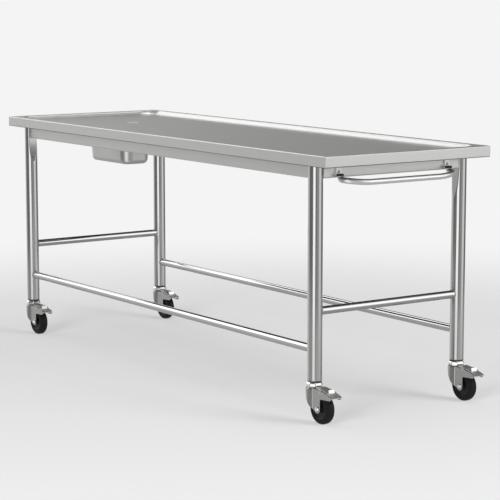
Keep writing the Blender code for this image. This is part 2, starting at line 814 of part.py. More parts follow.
def stem_profile():
    """A kingpin: a head under the fork's roof, a shank through the nut and a cone in the leg."""
    shank = STEM_DIAMETER / 2
    head_top = FORK_ROOF - FORK_SHEET - GAP
    cone_low = LEG_LOW + EXPANDER_LENGTH + GAP
    cone = LEG_RADIUS - LEG_WALL - STEM_CONE_INSET
    return [
        (0, cone_low + STEM_CONE_HEIGHT),
        (shank, cone_low + STEM_CONE_HEIGHT),
        (cone, cone_low),
        (shank, cone_low),
        (shank, head_top),
        (STEM_HEAD_DIAMETER / 2, head_top),
        (STEM_HEAD_DIAMETER / 2, head_top - STEM_HEAD_HEIGHT),
        (0, head_top - STEM_HEAD_HEIGHT),
    ]


def expander_profile():
    bore = STEM_DIAMETER / 2 + GAP
    outer = LEG_RADIUS - LEG_WALL - GAP
    top = LEG_LOW + EXPANDER_LENGTH
    return [(outer, top), (outer, LEG_LOW), (bore, LEG_LOW), (bore, top)]


def nut_mesh():
    """A faceted nut whose corners are turned off at both ends."""
    corner = NUT_FLATS / 2 / math.cos(math.pi / NUT_FACETS)
    end = corner - NUT_CHAMFER
    slope = NUT_CHAMFER
    profile = [
        (0, NUT_TOP + GAP),
        (end - GAP, NUT_TOP + GAP),
        (corner + GAP, NUT_TOP - slope),
        (corner + GAP, NUT_LOW + slope),
        (end - GAP, NUT_LOW - GAP),
        (0, NUT_LOW - GAP),
    ]
    facets = flat_prism(NUT_FLATS, NUT_LOW, NUT_TOP, NUT_FACETS)
    facets.transform(Matrix.Rotation(math.radians(NUT_TURN), 4, "Z"))
    bore = cylinder(STEM_DIAMETER / 2 + GAP, NUT_LOW - BIG, NUT_TOP + BIG, sides=PIN_SIDES)
    return combined(facets, ("INTERSECT", turned(profile, NUT_SIDES)), ("DIFFERENCE", bore))


def fork_front(strut_start):
    """The fork's front edge: a curve from the brow over the wheel to the straight rake of the strut."""
    steep = math.tan(math.radians(FORK_BROW_SLOPE))
    rake = math.tan(math.radians(FORK_RAKE))
    brow = Vector((-FORK_BROW_REACH, FORK_ROOF - FORK_BROW_DEPTH))
    bend = Vector((FORK_BEND, strut_start[1] + (strut_start[0] - FORK_BEND) * rake))
    knee_x = (brow.y + steep * brow.x - bend.y - rake * bend.x) / (steep - rake)
    knee = Vector((knee_x, bend.y - rake * (knee_x - bend.x)))
    points = []
    for step in range(ARC_STEPS + 1):
        along = step / ARC_STEPS
        points.append(tuple(brow.lerp(knee, along).lerp(knee.lerp(bend, along), along)))
    return points


def fork_outline():
    """The fork from the side: curved front, round strut ends, and a hood over the wheel."""
    axle = (CASTOR_TRAIL, WHEEL_RADIUS)
    strut = arc(axle, FORK_STRUT_RADIUS, -90 - FORK_RAKE, 0)
    front = -SWIVEL_DIAMETER / 2 - BIG
    hood_low = FORK_ROOF - HOOD_DEPTH
    fillet_centre = (CASTOR_TRAIL + FORK_STRUT_RADIUS + HOOD_FILLET, hood_low - HOOD_FILLET)
    outline = [(front, FORK_ROOF + BIG), (front, FORK_ROOF - FORK_BROW_DEPTH)]
    outline += fork_front(strut[0]) + strut
    outline += arc(fillet_centre, HOOD_FILLET, 180, 90, 3)
    bulge = HOOD_DEPTH - HOOD_END_LOW
    outline += [(HOOD_REACH - bulge, hood_low + HOOD_RISE), (HOOD_REACH, FORK_ROOF - HOOD_END_LOW)]
    steps = 4
    for step in range(steps, 0, -1):
        along = step / steps
        slope = HOOD_END_TOP * along**1.4
        outline.append((HOOD_START + (HOOD_REACH - HOOD_START) * along, FORK_ROOF - slope))
    return outline + [(HOOD_START, FORK_ROOF + BIG)]


def fork_mesh():
    """Pressed sheet: a round swivel cup that runs into two cheeks, open behind and below."""
    cup = SWIVEL_DIAMETER / 2
    under = FORK_ROOF - FORK_SHEET
    past = HOOD_REACH + BIG
    pin = PEDAL_PIN_DIAMETER / 2 + GAP
    pin_place = (PEDAL_PIVOT, 0, PEDAL_PIVOT_HEIGHT)
    axle_place = (CASTOR_TRAIL, 0, WHEEL_RADIUS)
    width = FORK_OUTER + BIG
    return combined(
        cylinder(cup, 0, FORK_ROOF),
        ("UNION", box((0, -FORK_OUTER, 0), (past, FORK_OUTER, FORK_ROOF))),
        ("DIFFERENCE", cylinder(cup - FORK_SHEET, -BIG, under)),
        ("DIFFERENCE", box((0, -FORK_INNER, -BIG), (past + BIG, FORK_INNER, under))),
        ("DIFFERENCE", box((FORK_ROOF_REACH, -FORK_INNER, 0), (past + BIG, FORK_INNER, FORK_ROOF + BIG))),
        ("INTERSECT", prism(fork_outline(), -width - cup, width + cup, "Y")),
        ("DIFFERENCE", cylinder(STEM_DIAMETER / 2 + GAP, 0, FORK_ROOF + BIG, sides=PIN_SIDES)),
        (
            "DIFFERENCE",
            cylinder(AXLE_DIAMETER / 2 + GAP, -width, width, axle_place, "Y", PIN_SIDES),
        ),
        ("DIFFERENCE", cylinder(pin, -width, width, pin_place, "Y", PIN_SIDES)),
    )


def pedal_height(along):
    """Top of the pedal's sheet: a gentle fall to the knee, a steeper one to the toe, then a lip."""
    knots = (
        (PEDAL_START, PEDAL_RISE),
        (PEDAL_KNEE, 0.0),
        (PEDAL_TOE, -PEDAL_TOE_DROP),
        (PEDAL_REACH, PEDAL_LIP - PEDAL_TOE_DROP),
    )
    for (before, high), (after, low) in zip(knots, knots[1:]):
        if along <= after:
            return FORK_ROOF + high + (low - high) * (along - before) / (after - before)
    return FORK_ROOF + knots[-1][1]


def pedal_mesh():
    """A bent tread plate with a lifting tab, two cheeks on a pivot pin, and a brake bar."""
    half = FORK_INNER - PEDAL_SIDE_PLAY
    stations = (PEDAL_START, PEDAL_KNEE, PEDAL_TOE, PEDAL_REACH)
    top = [(along, pedal_height(along)) for along in stations]
    under = [(along, height - PEDAL_SHEET) for along, height in reversed(top)]
    angle = math.radians(BRAKE_BAR_ANGLE)
    bar_radius = BRAKE_BAR_DIAMETER / 2
    reach = WHEEL_RADIUS + BRAKE_PLAY + bar_radius
    bar_x = CASTOR_TRAIL + reach * math.cos(angle)
    bar_z = WHEEL_RADIUS + reach * math.sin(angle)
    pin = PEDAL_PIN_DIAMETER / 2
    middle = PEDAL_SHEET / 2
    cheek_face = half - PEDAL_CHEEK_INSET
    cheek = [
        (PEDAL_PIVOT - 2 * pin, pedal_height(PEDAL_PIVOT - 2 * pin) - middle),
        (PEDAL_PIVOT - 2 * pin, PEDAL_PIVOT_HEIGHT - pin),
        (PEDAL_PIVOT, PEDAL_PIVOT_HEIGHT - 2 * pin),
        (bar_x - bar_radius, bar_z - bar_radius / 2),
        (bar_x + bar_radius, bar_z),
        (bar_x + 2 * bar_radius, pedal_height(bar_x + 2 * bar_radius) - middle),
    ]
    tab_low = pedal_height(PEDAL_TAB_PLACE) - middle
    tab = box(
        (PEDAL_TAB_PLACE, -PEDAL_TAB_WIDTH / 2, tab_low),
        (
            PEDAL_TAB_PLACE + PEDAL_SHEET,
            PEDAL_TAB_WIDTH / 2,
            tab_low + middle + PEDAL_TAB_HEIGHT,
        ),
    )
    pivot = (PEDAL_PIVOT, 0, PEDAL_PIVOT_HEIGHT)
    bar_half = cheek_face - middle
    mesh = combined(
        prism(top + under, -half, half, "Y"),
        ("UNION", prism(cheek, -cheek_face, PEDAL_SHEET - cheek_face, "Y")),
        ("UNION", prism(cheek, cheek_face - PEDAL_SHEET, cheek_face, "Y")),
        ("UNION", cylinder(bar_radius, -bar_half, bar_half, (bar_x, 0, bar_z), "Y", PIN_SIDES)),
        ("UNION", cylinder(pin, -FORK_OUTER, -bar_half, pivot, "Y", PIN_SIDES)),
        ("UNION", cylinder(pin, bar_half, FORK_OUTER, pivot, "Y", PIN_SIDES)),
        ("UNION", tab),
    )
    return moved(mesh, (-PEDAL_PIVOT, 0, -PEDAL_PIVOT_HEIGHT))


def build_castors(root):
    """Each castor hangs on an empty on its swivel axis, its wheel on one on the axle."""
    stem = turned(stem_profile(), PIN_SIDES)
    expander = turned(expander_profile(), HIDDEN_SIDES, ring=True)
    nut = nut_mesh()
    fork = fork_mesh()
    axle = turned(axle_profile(), PIN_SIDES)
    hub = turned(hub_profile(), HUB_SIDES, ring=True)
    tyre = turned(tyre_profile(), WHEEL_SIDES, ring=True)
    pedal = pedal_mesh()
    wheel_turn = (math.radians(90), 0, 0)
    pivot = (PEDAL_PIVOT, 0, PEDAL_PIVOT_HEIGHT)
    for name, (side_x, side_y) in CORNERS.items():
        swivel = add_empty(f"swivel_axis_{name}", (side_x * LEG_X, side_y * LEG_Y, 0), root)
        wheel = add_empty(f"wheel_axis_{name}", (CASTOR_TRAIL, 0, WHEEL_RADIUS), swivel)
        add_part(f"castor_stem_{name}", stem, POLISHED_STEEL, swivel)
        add_part(f"castor_expander_{name}", expander, GREY_RUBBER, swivel)
        add_part(f"castor_nut_{name}", nut, POLISHED_STEEL, swivel)
        add_part(f"castor_fork_{name}", fork, PRESSED_STEEL, swivel)
        add_part(f"castor_axle_{name}", axle, POLISHED_STEEL, wheel, turn=wheel_turn)
        add_part(f"castor_hub_{name}", hub, BLACK_PLASTIC, wheel, turn=wheel_turn)
        add_part(f"castor_tyre_{name}", tyre, BLACK_RUBBER, wheel, turn=wheel_turn)
        add_part(f"castor_pedal_{name}", pedal, PRESSED_STEEL, swivel, pivot)


def main():
    root = add_empty("table_centre", (TRAY_SHIFT, 0, 0))
    build_tray(root)
    build_aprons(root)
    build_legs(root)
    build_stretchers(root)
    build_drain(root)
    build_basin(root)
    build_handle(root)
    build_castors(root)


main()
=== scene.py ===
"""The looks of a mobile autopsy table in stainless steel.

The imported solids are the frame. Each operator makes one group of finished pieces, puts them on their
bodies and gives them their finish. The last one sets up the floor, the light and the camera.
"""

import math

import bmesh
import bpy
from bpy.props import FloatProperty, FloatVectorProperty, IntProperty, PointerProperty
from mathutils import Matrix, Vector


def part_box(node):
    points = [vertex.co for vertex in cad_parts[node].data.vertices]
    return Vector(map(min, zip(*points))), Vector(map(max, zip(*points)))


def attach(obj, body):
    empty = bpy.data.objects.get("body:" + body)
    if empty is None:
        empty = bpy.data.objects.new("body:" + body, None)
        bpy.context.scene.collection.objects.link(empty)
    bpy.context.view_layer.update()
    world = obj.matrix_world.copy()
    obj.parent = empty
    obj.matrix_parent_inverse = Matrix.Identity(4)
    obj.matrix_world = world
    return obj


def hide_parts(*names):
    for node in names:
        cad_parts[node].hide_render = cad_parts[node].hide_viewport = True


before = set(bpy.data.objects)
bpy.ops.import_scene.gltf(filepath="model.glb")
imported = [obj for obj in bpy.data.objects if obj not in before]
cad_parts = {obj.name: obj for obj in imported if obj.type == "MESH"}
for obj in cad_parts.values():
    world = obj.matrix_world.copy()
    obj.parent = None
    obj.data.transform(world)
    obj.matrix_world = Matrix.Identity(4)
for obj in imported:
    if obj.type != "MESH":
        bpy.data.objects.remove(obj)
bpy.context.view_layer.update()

bl_info = {
    "name": "Autopsy table looks",
    "version": (1, 0, 0),
    "blender": (4, 5, 0),
    "location": "View3D > Sidebar > Table",
    "description": "Finished pieces, finishes and studio of a mobile autopsy table",
    "category": "Object",
}

CORNERS = ("front_left", "front_right", "back_left", "back_right")
SIDES = ("front", "back")
ENDS = ("left", "right")
TABLE = "table"

# Lengths are in metres, and angles that are written out are in degrees. Points closer than these two
# are one point, in a finished piece and in the loose triangles of a solid.
SAME_POINT = 1e-6
SAME_SOLID_POINT = 1e-5

# Faces of a solid within this angle are one flat.
ONE_FLAT = 0.6

# A mesh shades sharp past these angles: in general, on round bars and on pressed sheet.
SHARP = 32.0
ROUND_SHARP = 40.0
SHEET_SHARP = 30.0

# The play between pieces that fit together.
FIT = 0.0003

# The strainer's rings of holes at most, and the holes of its first ring.
MOST_RINGS = 4
FIRST_RING_HOLES = 6


def length(name, description, default):
    """A size in metres."""
    return FloatProperty(name=name, description=description, default=default, unit="LENGTH", precision=4)


def count(name, description, default, most):
    """A number of like things."""
    return IntProperty(name=name, description=description, default=default, min=1, max=most)


def share(name, description, default):
    """A part of one."""
    return FloatProperty(
        name=name, description=description, default=default, subtype="FACTOR", min=0, max=1
    )


def angle(name, description, default):
    """A turn, its default given in degrees."""
    radians = math.radians(default)
    return FloatProperty(name=name, description=description, default=radians, subtype="ANGLE")


def colour(name, description, default):
    """A colour in linear light."""
    return FloatVectorProperty(
        name=name, description=description, default=default, subtype="COLOR", size=3, min=0, max=1
    )


class TraySizes(bpy.types.PropertyGroup):
    """The tray top's sheet and its folds; its outer box comes from the frame."""

    sheet: length("Sheet", "Thickness of the folded sheet", 0.002)
    depth: length("Depth", "From the rim's top down to the tray floor", 0.0155)
    rim: length("Rim", "Width of the flat rim, with its outer fold", 0.025)
    fold: length("Fold", "Outer radius of the folds", 0.003)
    cove: length("Cove", "Radius where the inner wall runs into the floor", 0.020)
    lean: angle("Wall Lean", "How far the inner wall leans outwards", 20.0)
    corner: length("Corner", "Plan radius of the inner corners", 0.062)
    skirt_corner: length("Skirt Corner", "Plan radius of the outer corners", 0.0035)
    skirt_return: length("Skirt Return", "How far the skirt's foot is folded inwards", 0.012)


class FrameSizes(bpy.types.PropertyGroup):
    """Legs, stretchers and aprons; their places come from the frame."""

    leg_wall: length("Leg Wall", "Wall thickness of the leg tubes", 0.002)
    foot_ring: length("Foot Ring", "Height of the dark ring around the foot of a leg", 0.0028)
    flat_depth: length("Flat Depth", "How deep the leg tops are pressed flat", 0.0074)
    flat_below: length("Flat Below Apron", "Where the full flat ends, below the aprons", 0.010)
    flat_run_out: length("Flat Run-out", "Height over which a flat runs out to the round", 0.100)
    crease: length("Crease", "Softness of the flats' edges", 0.0003)
    stretcher_wall: length("Stretcher Wall", "Wall thickness of the stretchers", 0.002)
    apron_sheet: length("Apron Sheet", "Thickness of the apron sections", 0.002)
    apron_bend: length("Apron Bend", "Outer radius of the apron sections' folds", 0.004)
    bead: length("Weld Bead", "Half the width of a weld bead", 0.0017)
    ripple: length("Weld Ripple", "Distance from one weld ripple to the next", 0.0012)
    runner_edge: length("Runner Edge", "Rounding of the edges of the basin's runners", 0.0006)


class FittingSizes(bpy.types.PropertyGroup):
    """Drain, basin and handle details; their places come from the frame."""

    basin_sheet: length("Basin Sheet", "Thickness of the basin's sheet", 0.0015)
    basin_flange: length("Basin Flange", "Width of the basin's flange", 0.014)
    basin_corner: length("Basin Corner", "Plan radius of the basin's corners", 0.045)
    basin_foot: length("Basin Foot", "Radius around the basin's bottom", 0.018)
    basin_taper: length("Basin Taper", "How far the walls lean in at the bottom", 0.008)
    basin_neck: length("Basin Neck", "Radius where the flange turns down", 0.003)
    strainer_sheet: length("Strainer Sheet", "Thickness of the strainer disc", 0.0015)
    strainer_hole: length("Strainer Hole", "Diameter of a strainer hole", 0.0032)
    strainer_edge: length("Strainer Edge", "Width of the plain edge of the strainer", 0.004)
    strainer_first: length("First Ring", "Radius of the strainer's first ring of holes", 0.0052)
    strainer_rings: count("Strainer Rings", "Rings of holes around the knob", MOST_RINGS, MOST_RINGS)
    backnut_edge: length("Backnut Edge", "Rounding of the edges of the drain's backnut", 0.0007)
    bracket_sheet: length("Bracket Sheet", "Thickness of the bracket plates", 0.005)
    bracket_edge: length("Bracket Edge", "Rounding of the brackets' edges", 0.0009)
    bracket_waist: share("Bracket Waist", "Width of the bracket plates against their sockets", 0.84)
    handle_elbow: length("Handle Elbow", "Bend radius below the brackets", 0.012)
    handle_fall: length("Handle Fall", "How far the bar falls from its elbows to the grip", 0.007)
    handle_corner: length("Handle Corner", "Reach of the grip's end bends, outwards", 0.040)
    handle_sweep: length("Handle Sweep", "Reach of the grip's end bends, along the grip", 0.090)


class CastorSizes(bpy.types.PropertyGroup):
    """Details of the castors; their places come from the frame."""

    shoulder: length("Tyre Shoulder", "Radius of the tyre's shoulders", 0.011)
    tyre: length("Tyre Thickness", "Thickness of the tyre over the rim", 0.014)
    press_radius: length("Press Radius", "Outer radius where the fork's roof turns down", 0.0035)
    sheet_edge: length("Sheet Edge", "Rounding of cut sheet edges", 0.0009)
    tab_lean: length("Tab Lean", "How far the pedals' tabs lean back at their tops", 0.003)
    nut_flats: length("Nut Flats", "Width of the nuts across their flats", 0.050)
    nut_corner: length("Nut Corner", "Rounding of the nuts' upright edges", 0.0050)
    nut_turn: angle("Nut Turn", "Turn of the nuts about their stems", -30.0)
    web: length("Wheel Web", "Thickness of the wheel centres between rim and boss", 0.022)


class Finishes(bpy.types.PropertyGroup):
    """Colours of the finishes."""

    sheet: colour("Sheet Steel", "Brushed sheet", (0.58, 0.58, 0.575))
    tube: colour("Tube Steel", "Linished tube", (0.50, 0.50, 0.495))
    polished: colour("Polished Steel", "Handle, drain and brackets", (0.57, 0.57, 0.565))
    plated: colour("Plated Steel", "Nuts, axles and stems", (0.84, 0.84, 0.84))
    fork: colour("Fork Steel", "Pressed and plated forks", (0.37, 0.37, 0.365))
    pedal: colour("Pedal Steel", "Brake pedals", (0.78, 0.78, 0.77))
    # The underside's dark tone is painted shade, standing for the shade under the tray that the bars and
    # handle reflect; its rougher grain is the unpolished sheet.
    underside: colour("Tray Underside", "Unpolished sheet under the tray", (0.15, 0.15, 0.148))
    weld: colour("Weld Metal", "Weld beads", (0.42, 0.41, 0.39))
    tyre: colour("Tyre", "Black rubber", (0.0042, 0.0042, 0.0042))
    hub: colour("Wheel Centre", "Black plastic", (0.0070, 0.0070, 0.0074))
    seal: colour("Seals", "Dark grey rubber", (0.06, 0.06, 0.06))


class Studio(bpy.types.PropertyGroup):
    """Camera, floor and light."""

    lens: FloatProperty(
        name="Lens", description="Focal length on a 36 mm sensor", default=135.67, unit="CAMERA"
    )
    place: FloatVectorProperty(
        name="Camera Place",
        description="Where the camera stands",
        default=(5.5787, -3.7878, 1.3888),
        subtype="TRANSLATION",
        unit="LENGTH",
    )
    tilt: angle("Tilt", "Camera's turn up from looking straight down", 81.7824)
    heading: angle("Heading", "Camera's turn about the vertical", 55.163)
    floor: colour("Floor", "Pale studio floor", (0.597, 0.597, 0.597))
    backdrop: colour("Backdrop", "Pale backdrop that the floor runs into", (0.905, 0.905, 0.905))
    floor_plain: share("Floor Evenness", "How much the floor's own pale tone shows over its shading", 0.70)
    floor_sheen: share("Floor Sheen", "How much of the lights the metal sees in the floor", 0.55)
    floor_fade: length("Floor Fade", "Where the floor starts to run into the backdrop", 0.9)
    floor_end: length("Floor End", "Where the floor has run into the backdrop", 3.5)
    surround: share("Surround", "Brightness of the dim studio around the lights", 0.22)
    lamp_power: FloatProperty(
        name="Lamp Power", description="Watts of each of the two floor lamps", default=1350.0, unit="POWER"
    )
    lamp_size: length("Lamp Size", "Width and height of a floor lamp", 3.6)
    lamp_reach: length("Lamp Reach", "Distance of the floor lamps from the table's middle", 9.0)
    left_turn: angle("Left Lamp Turn", "Turn of the left floor lamp from the camera", -26.0)
    right_turn: angle("Right Lamp Turn", "Turn of the right floor lamp from the camera", 62.0)
    lamp_rise: angle("Lamp Rise", "Height of the floor lamps as an angle", 18.0)


GROUPS = {
    "table_tray": TraySizes,
    "table_frame": FrameSizes,
    "table_fittings": FittingSizes,
    "table_castors": CastorSizes,
    "table_finishes": Finishes,
    "table_studio": Studio,
}


def mesh_from(shape, sharp=SHARP):
    """A mesh from a bmesh, welded, facing outwards and smooth up to an angle in degrees."""
    bmesh.ops.remove_doubles(shape, verts=shape.verts, dist=SAME_POINT)
    bmesh.ops.recalc_face_normals(shape, faces=shape.faces)
    mesh = bpy.data.meshes.new("piece")
    shape.to_mesh(mesh)
    shape.free()
    mesh.shade_smooth()
    mesh.set_sharp_from_angle(angle=math.radians(sharp))
    return mesh


def cleaned(mesh, sharp=SHARP):
    """A mesh welded, facing outwards and shaded anew."""
    shape = bmesh.new()
    shape.from_mesh(mesh)
    return mesh_from(shape, sharp)


def flat_shaded(mesh):
    """A mesh whose broad faces shade flat and leave the bending to the narrow ones beside them."""
    work = working_object(mesh)
    weigh = work.modifiers.new("Weigh", "WEIGHTED_NORMAL")
    weigh.mode = "FACE_AREA"
    weigh.keep_sharp = True
    return evaluated_mesh(work)


def finished(name, mesh, look, body, slot, *stands_for):
    """A finished piece on its body, at the origin, with its place in its mesh."""
    mesh = flat_shaded(mesh)
    made = bpy.data.objects.new(name, mesh)
    mesh.name = name
    mesh.materials.clear()
    mesh.materials.append(look)
    bpy.context.scene.collection.objects.link(made)
    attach(made, body)
    if stands_for:
        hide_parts(*stands_for)
    return made


def paint(piece, other, chosen):
    """Gives another finish to those faces of a piece that are chosen."""
    piece.data.materials.append(other)
    for face in piece.data.polygons:
        if chosen(face):
            face.material_index = 1


def dress(node, look):
    """A solid that stays as it is gets its finish."""
    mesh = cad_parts[node].data
    mesh.materials.clear()
    mesh.materials.append(look)


def arc(centre, radius, start, end, steps):
    """Points of an arc in a plane, its angles in degrees."""
    turns = [math.radians(start + (end - start) * step / steps) for step in range(steps + 1)]
    return [(centre[0] + radius * math.cos(turn), centre[1] + radius * math.sin(turn)) for turn in turns]


def rounded_rectangle(half_x, half_y, radius, height, steps=14):
    """A ring of points at one height, with the same count for any corner radius."""
    ring = []
    for quarter, (side_x, side_y) in enumerate(((1, 1), (-1, 1), (-1, -1), (1, -1))):
        centre = (side_x * (half_x - radius), side_y * (half_y - radius))
        corner = arc(centre, radius, 90 * quarter, 90 * quarter + 90, steps)
        ring += [(x, y, height) for x, y in corner]
    return ring


def lofted(rings, looped=False, sharp=SHARP):
    """A body through rings of equal counts; looped joins the last ring to the first, as in a tube."""
    shape = bmesh.new()
    loops = [[shape.verts.new(point) for point in ring] for ring in rings]
    followers = loops[1:] + loops[:1] if looped else loops[1:]
    for lower, upper in zip(loops, followers):
        for index in range(len(lower)):
            after = (index + 1) % len(lower)
            shape.faces.new((lower[index], lower[after], upper[after], upper[index]))
    if not looped:
        shape.faces.new(loops[0])
        shape.faces.new(loops[-1])
    return mesh_from(shape, sharp)


def turned(profile, sides=64, looped=False):
    """A profile of (radius, height) points turned about Z."""
    turns = [2 * math.pi * side / sides for side in range(sides)]
    rings = [
        [(radius * math.cos(turn), radius * math.sin(turn), height) for turn in turns]
        for radius, height in profile
    ]
    return lofted(rings, looped)


def extruded(section, low, high, along):
    """A flat section pushed along X as (Y, Z) points, or along Y as (X, Z) points."""
    if along == "X":
        rings = [[(place, across, up) for across, up in section] for place in (low, high)]
    else:
        rings = [[(across, place, up) for across, up in section] for place in (low, high)]
    return lofted(rings)


def merged_copy(node):
    """A CAD node's surface as one welded shape with whole flat faces."""
    shape = bmesh.new()
    shape.from_mesh(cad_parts[node].data)
    bmesh.ops.remove_doubles(shape, verts=shape.verts, dist=SAME_SOLID_POINT)
    bmesh.ops.dissolve_limit(
        shape,
        angle_limit=math.radians(ONE_FLAT),
        verts=shape.verts[:],
        edges=shape.edges[:],
        use_dissolve_boundaries=False,
    )
    return shape


def soften(shape, width, segments=2, above=35.0, chosen=None):
    """Rounds a shape's edges over an angle in degrees, or those of them that are chosen."""
    limit = math.radians(above)
    edges = [
        edge
        for edge in shape.edges
        if len(edge.link_faces) == 2 and edge.calc_face_angle(0) > limit and (not chosen or chosen(edge))
    ]
    bmesh.ops.bevel(
        shape,
        geom=edges,
        offset=width,
        offset_type="OFFSET",
        segments=segments,
        profile=0.5,
        affect="EDGES",
        clamp_overlap=True,
    )


def softened_copy(node, width):
    """A CAD node's surface with its edges rounded."""
    shape = merged_copy(node)
    soften(shape, width)
    return mesh_from(shape)


def moved(mesh, place):
    """A copy of a mesh at another place."""
    copy = mesh.copy()
    copy.transform(Matrix.Translation(Vector(place)))
    return copy


def evaluated_mesh(work, *spent):
    """The plain mesh that a working object evaluates to; it and what it used are removed."""
    bpy.context.view_layer.update()
    depsgraph = bpy.context.evaluated_depsgraph_get()
    mesh = bpy.data.meshes.new_from_object(work.evaluated_get(depsgraph))
    for thing in (work, *spent):
        bpy.data.objects.remove(thing)
    return mesh


def working_object(data):
    """An object that is in the scene only while its shape is worked out."""
    made = bpy.data.objects.new("work", data)
    bpy.context.scene.collection.objects.link(made)
    return made


def cut_by(mesh, cutter):
    """A mesh with another taken out of it."""
    work = working_object(mesh)
    tool = working_object(cutter)
    boolean = work.modifiers.new("Cut", "BOOLEAN")
    boolean.operation = "DIFFERENCE"
    boolean.object = tool
    return cleaned(evaluated_mesh(work, tool))


def middle(node):
    """The middle of a CAD node's box."""
    low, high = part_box(node)
    return (low + high) / 2


def half_width(node):
    """Half a CAD node's width along X, which is the radius of an upright round one."""
    low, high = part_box(node)
    return (high.x - low.x) / 2


class NodeBench:
    """Adds nodes to a tree and links them, one call each."""

    def __init__(self, tree):
        self.tree = tree

    def add(self, kind, values=None, **settings):
        """A node with settings; values go to its inputs by name or number, sockets are linked."""
        node = self.tree.nodes.new(kind)
        for key, value in settings.items():
            setattr(node, key, value)
        for key, value in (values or {}).items():
            self.feed(node.inputs[key], value)
        return node

    def feed(self, socket, value):
        """Links a socket to an input, or sets the input to a plain value."""
        if isinstance(value, bpy.types.NodeSocket):
            self.tree.links.new(value, socket)
        else:
            socket.default_value = value

    def math(self, operation, first, second=0.0, third=0.0):
        """The result of a sum; only a multiply-add has a third part."""
        node = self.add("ShaderNodeMath", {0: first, 1: second}, operation=operation)
        if operation == "MULTIPLY_ADD":
            self.feed(node.inputs[2], third)
        return node.outputs[0]

    def span(self, value, low, high, to_low, to_high, smooth=False):
        """A value taken from one range to another."""
        kind = "SMOOTHSTEP" if smooth else "LINEAR"
        values = {"Value": value, "From Min": low, "From Max": high, "To Min": to_low, "To Max": to_high}
        return self.add("ShaderNodeMapRange", values, interpolation_type=kind).outputs["Result"]

    def noise(self, vector, scale, **values):
        """The value of a noise texture, its other inputs given by name."""
        inputs = {"Vector": vector, "Scale": scale, **values}
        return self.add("ShaderNodeTexNoise", inputs).outputs["Fac"]

    def blend(self, part, first, second):
        """A value between two others."""
        return self.add("ShaderNodeMix", {0: part, 2: first, 3: second}).outputs[0]

    def mix(self, part, first, second):
        """A colour between two others."""
        return self.add("ShaderNodeMix", {0: part, 6: first, 7: second}, data_type="RGBA").outputs[2]


SOCKETS = {
    "vector": "NodeSocketVector",
    "value": "NodeSocketFloat",
    "geometry": "NodeSocketGeometry",
    "material": "NodeSocketMaterial",
    "object": "NodeSocketObject",
    "whole": "NodeSocketInt",
}


def new_tree(name, kind, inputs, outputs):
    """A node group with named sockets, its bench and its input and output nodes."""
    tree = bpy.data.node_groups.new(name, kind)
    for label, socket in inputs.items():
        tree.interface.new_socket(label, in_out="INPUT", socket_type=SOCKETS[socket])
    for label, socket in outputs.items():
        tree.interface.new_socket(label, in_out="OUTPUT", socket_type=SOCKETS[socket])
    bench = NodeBench(tree)
    return tree, bench, bench.add("NodeGroupInput"), bench.add("NodeGroupOutput")


def grain_group():
    """Long fine scratches: streaks of tone and of height, stretched along one direction."""
    name = "Linished grain"
    if name in bpy.data.node_groups:
        return bpy.data.node_groups[name]
    tree, bench, given, result = new_tree(
        name,
        "ShaderNodeTree",
        {"Vector": "vector", "Stretch": "vector"},
        {"Streak": "value", "Height": "value"},
    )
    place = bench.add(
        "ShaderNodeVectorMath",
        {0: given.outputs["Vector"], 1: given.outputs["Stretch"]},
        operation="MULTIPLY",
    ).outputs[0]
    coarse = bench.noise(place, 1.0, Detail=3.0, Roughness=0.62)
    fine = bench.noise(place, 3.1, Detail=2.0, Roughness=0.5)
    coarse_part, fine_part = 0.6, 0.4
    streak = bench.math("MULTIPLY_ADD", fine, fine_part, bench.math("MULTIPLY", coarse, coarse_part))
    bench.feed(result.inputs["Streak"], bench.span(streak, 0.3, 0.7, 0.0, 1.0))
    bench.feed(result.inputs["Height"], fine)
    return tree


def haze_group():
    """Soft clouds left by wiping and handling."""
    name = "Wiped haze"
    if name in bpy.data.node_groups:
        return bpy.data.node_groups[name]
    tree, bench, given, result = new_tree(
        name, "ShaderNodeTree", {"Vector": "vector", "Scale": "value"}, {"Haze": "value"}
    )
    cloud = bench.noise(given.outputs["Vector"], given.outputs["Scale"], Detail=4.0, Distortion=0.4)
    bench.feed(result.inputs["Haze"], bench.span(cloud, 0.32, 0.68, 0.0, 1.0, smooth=True))
    return tree


def new_material(name):
    """A material with its bench, its shader and the piece's own coordinates."""
    made = bpy.data.materials.new(name)
    made.use_nodes = True
    bench = NodeBench(made.node_tree)
    shader = made.node_tree.nodes["Principled BSDF"]
    where = bench.add("ShaderNodeTexCoord").outputs["Object"]
    return made, bench, shader, where


def toned(tone, factor):
    """A tone made lighter or darker, as a shader's colour."""
    return (*[min(1.0, channel * factor) for channel in tone], 1.0)


def haze_over(bench, where, scale):
    """The wiped haze at one scale, as a value over the surface."""
    values = {"Vector": where, "Scale": scale}
    return bench.add("ShaderNodeGroup", values, node_tree=haze_group()).outputs["Haze"]


def give_relief(bench, shader, height, strength, distance):
    """Lets a height show as fine relief in a shader."""
    bump = bench.add("ShaderNodeBump", {"Strength": strength, "Distance": distance, "Height": height})
    bench.feed(shader.inputs["Normal"], bump.outputs["Normal"])


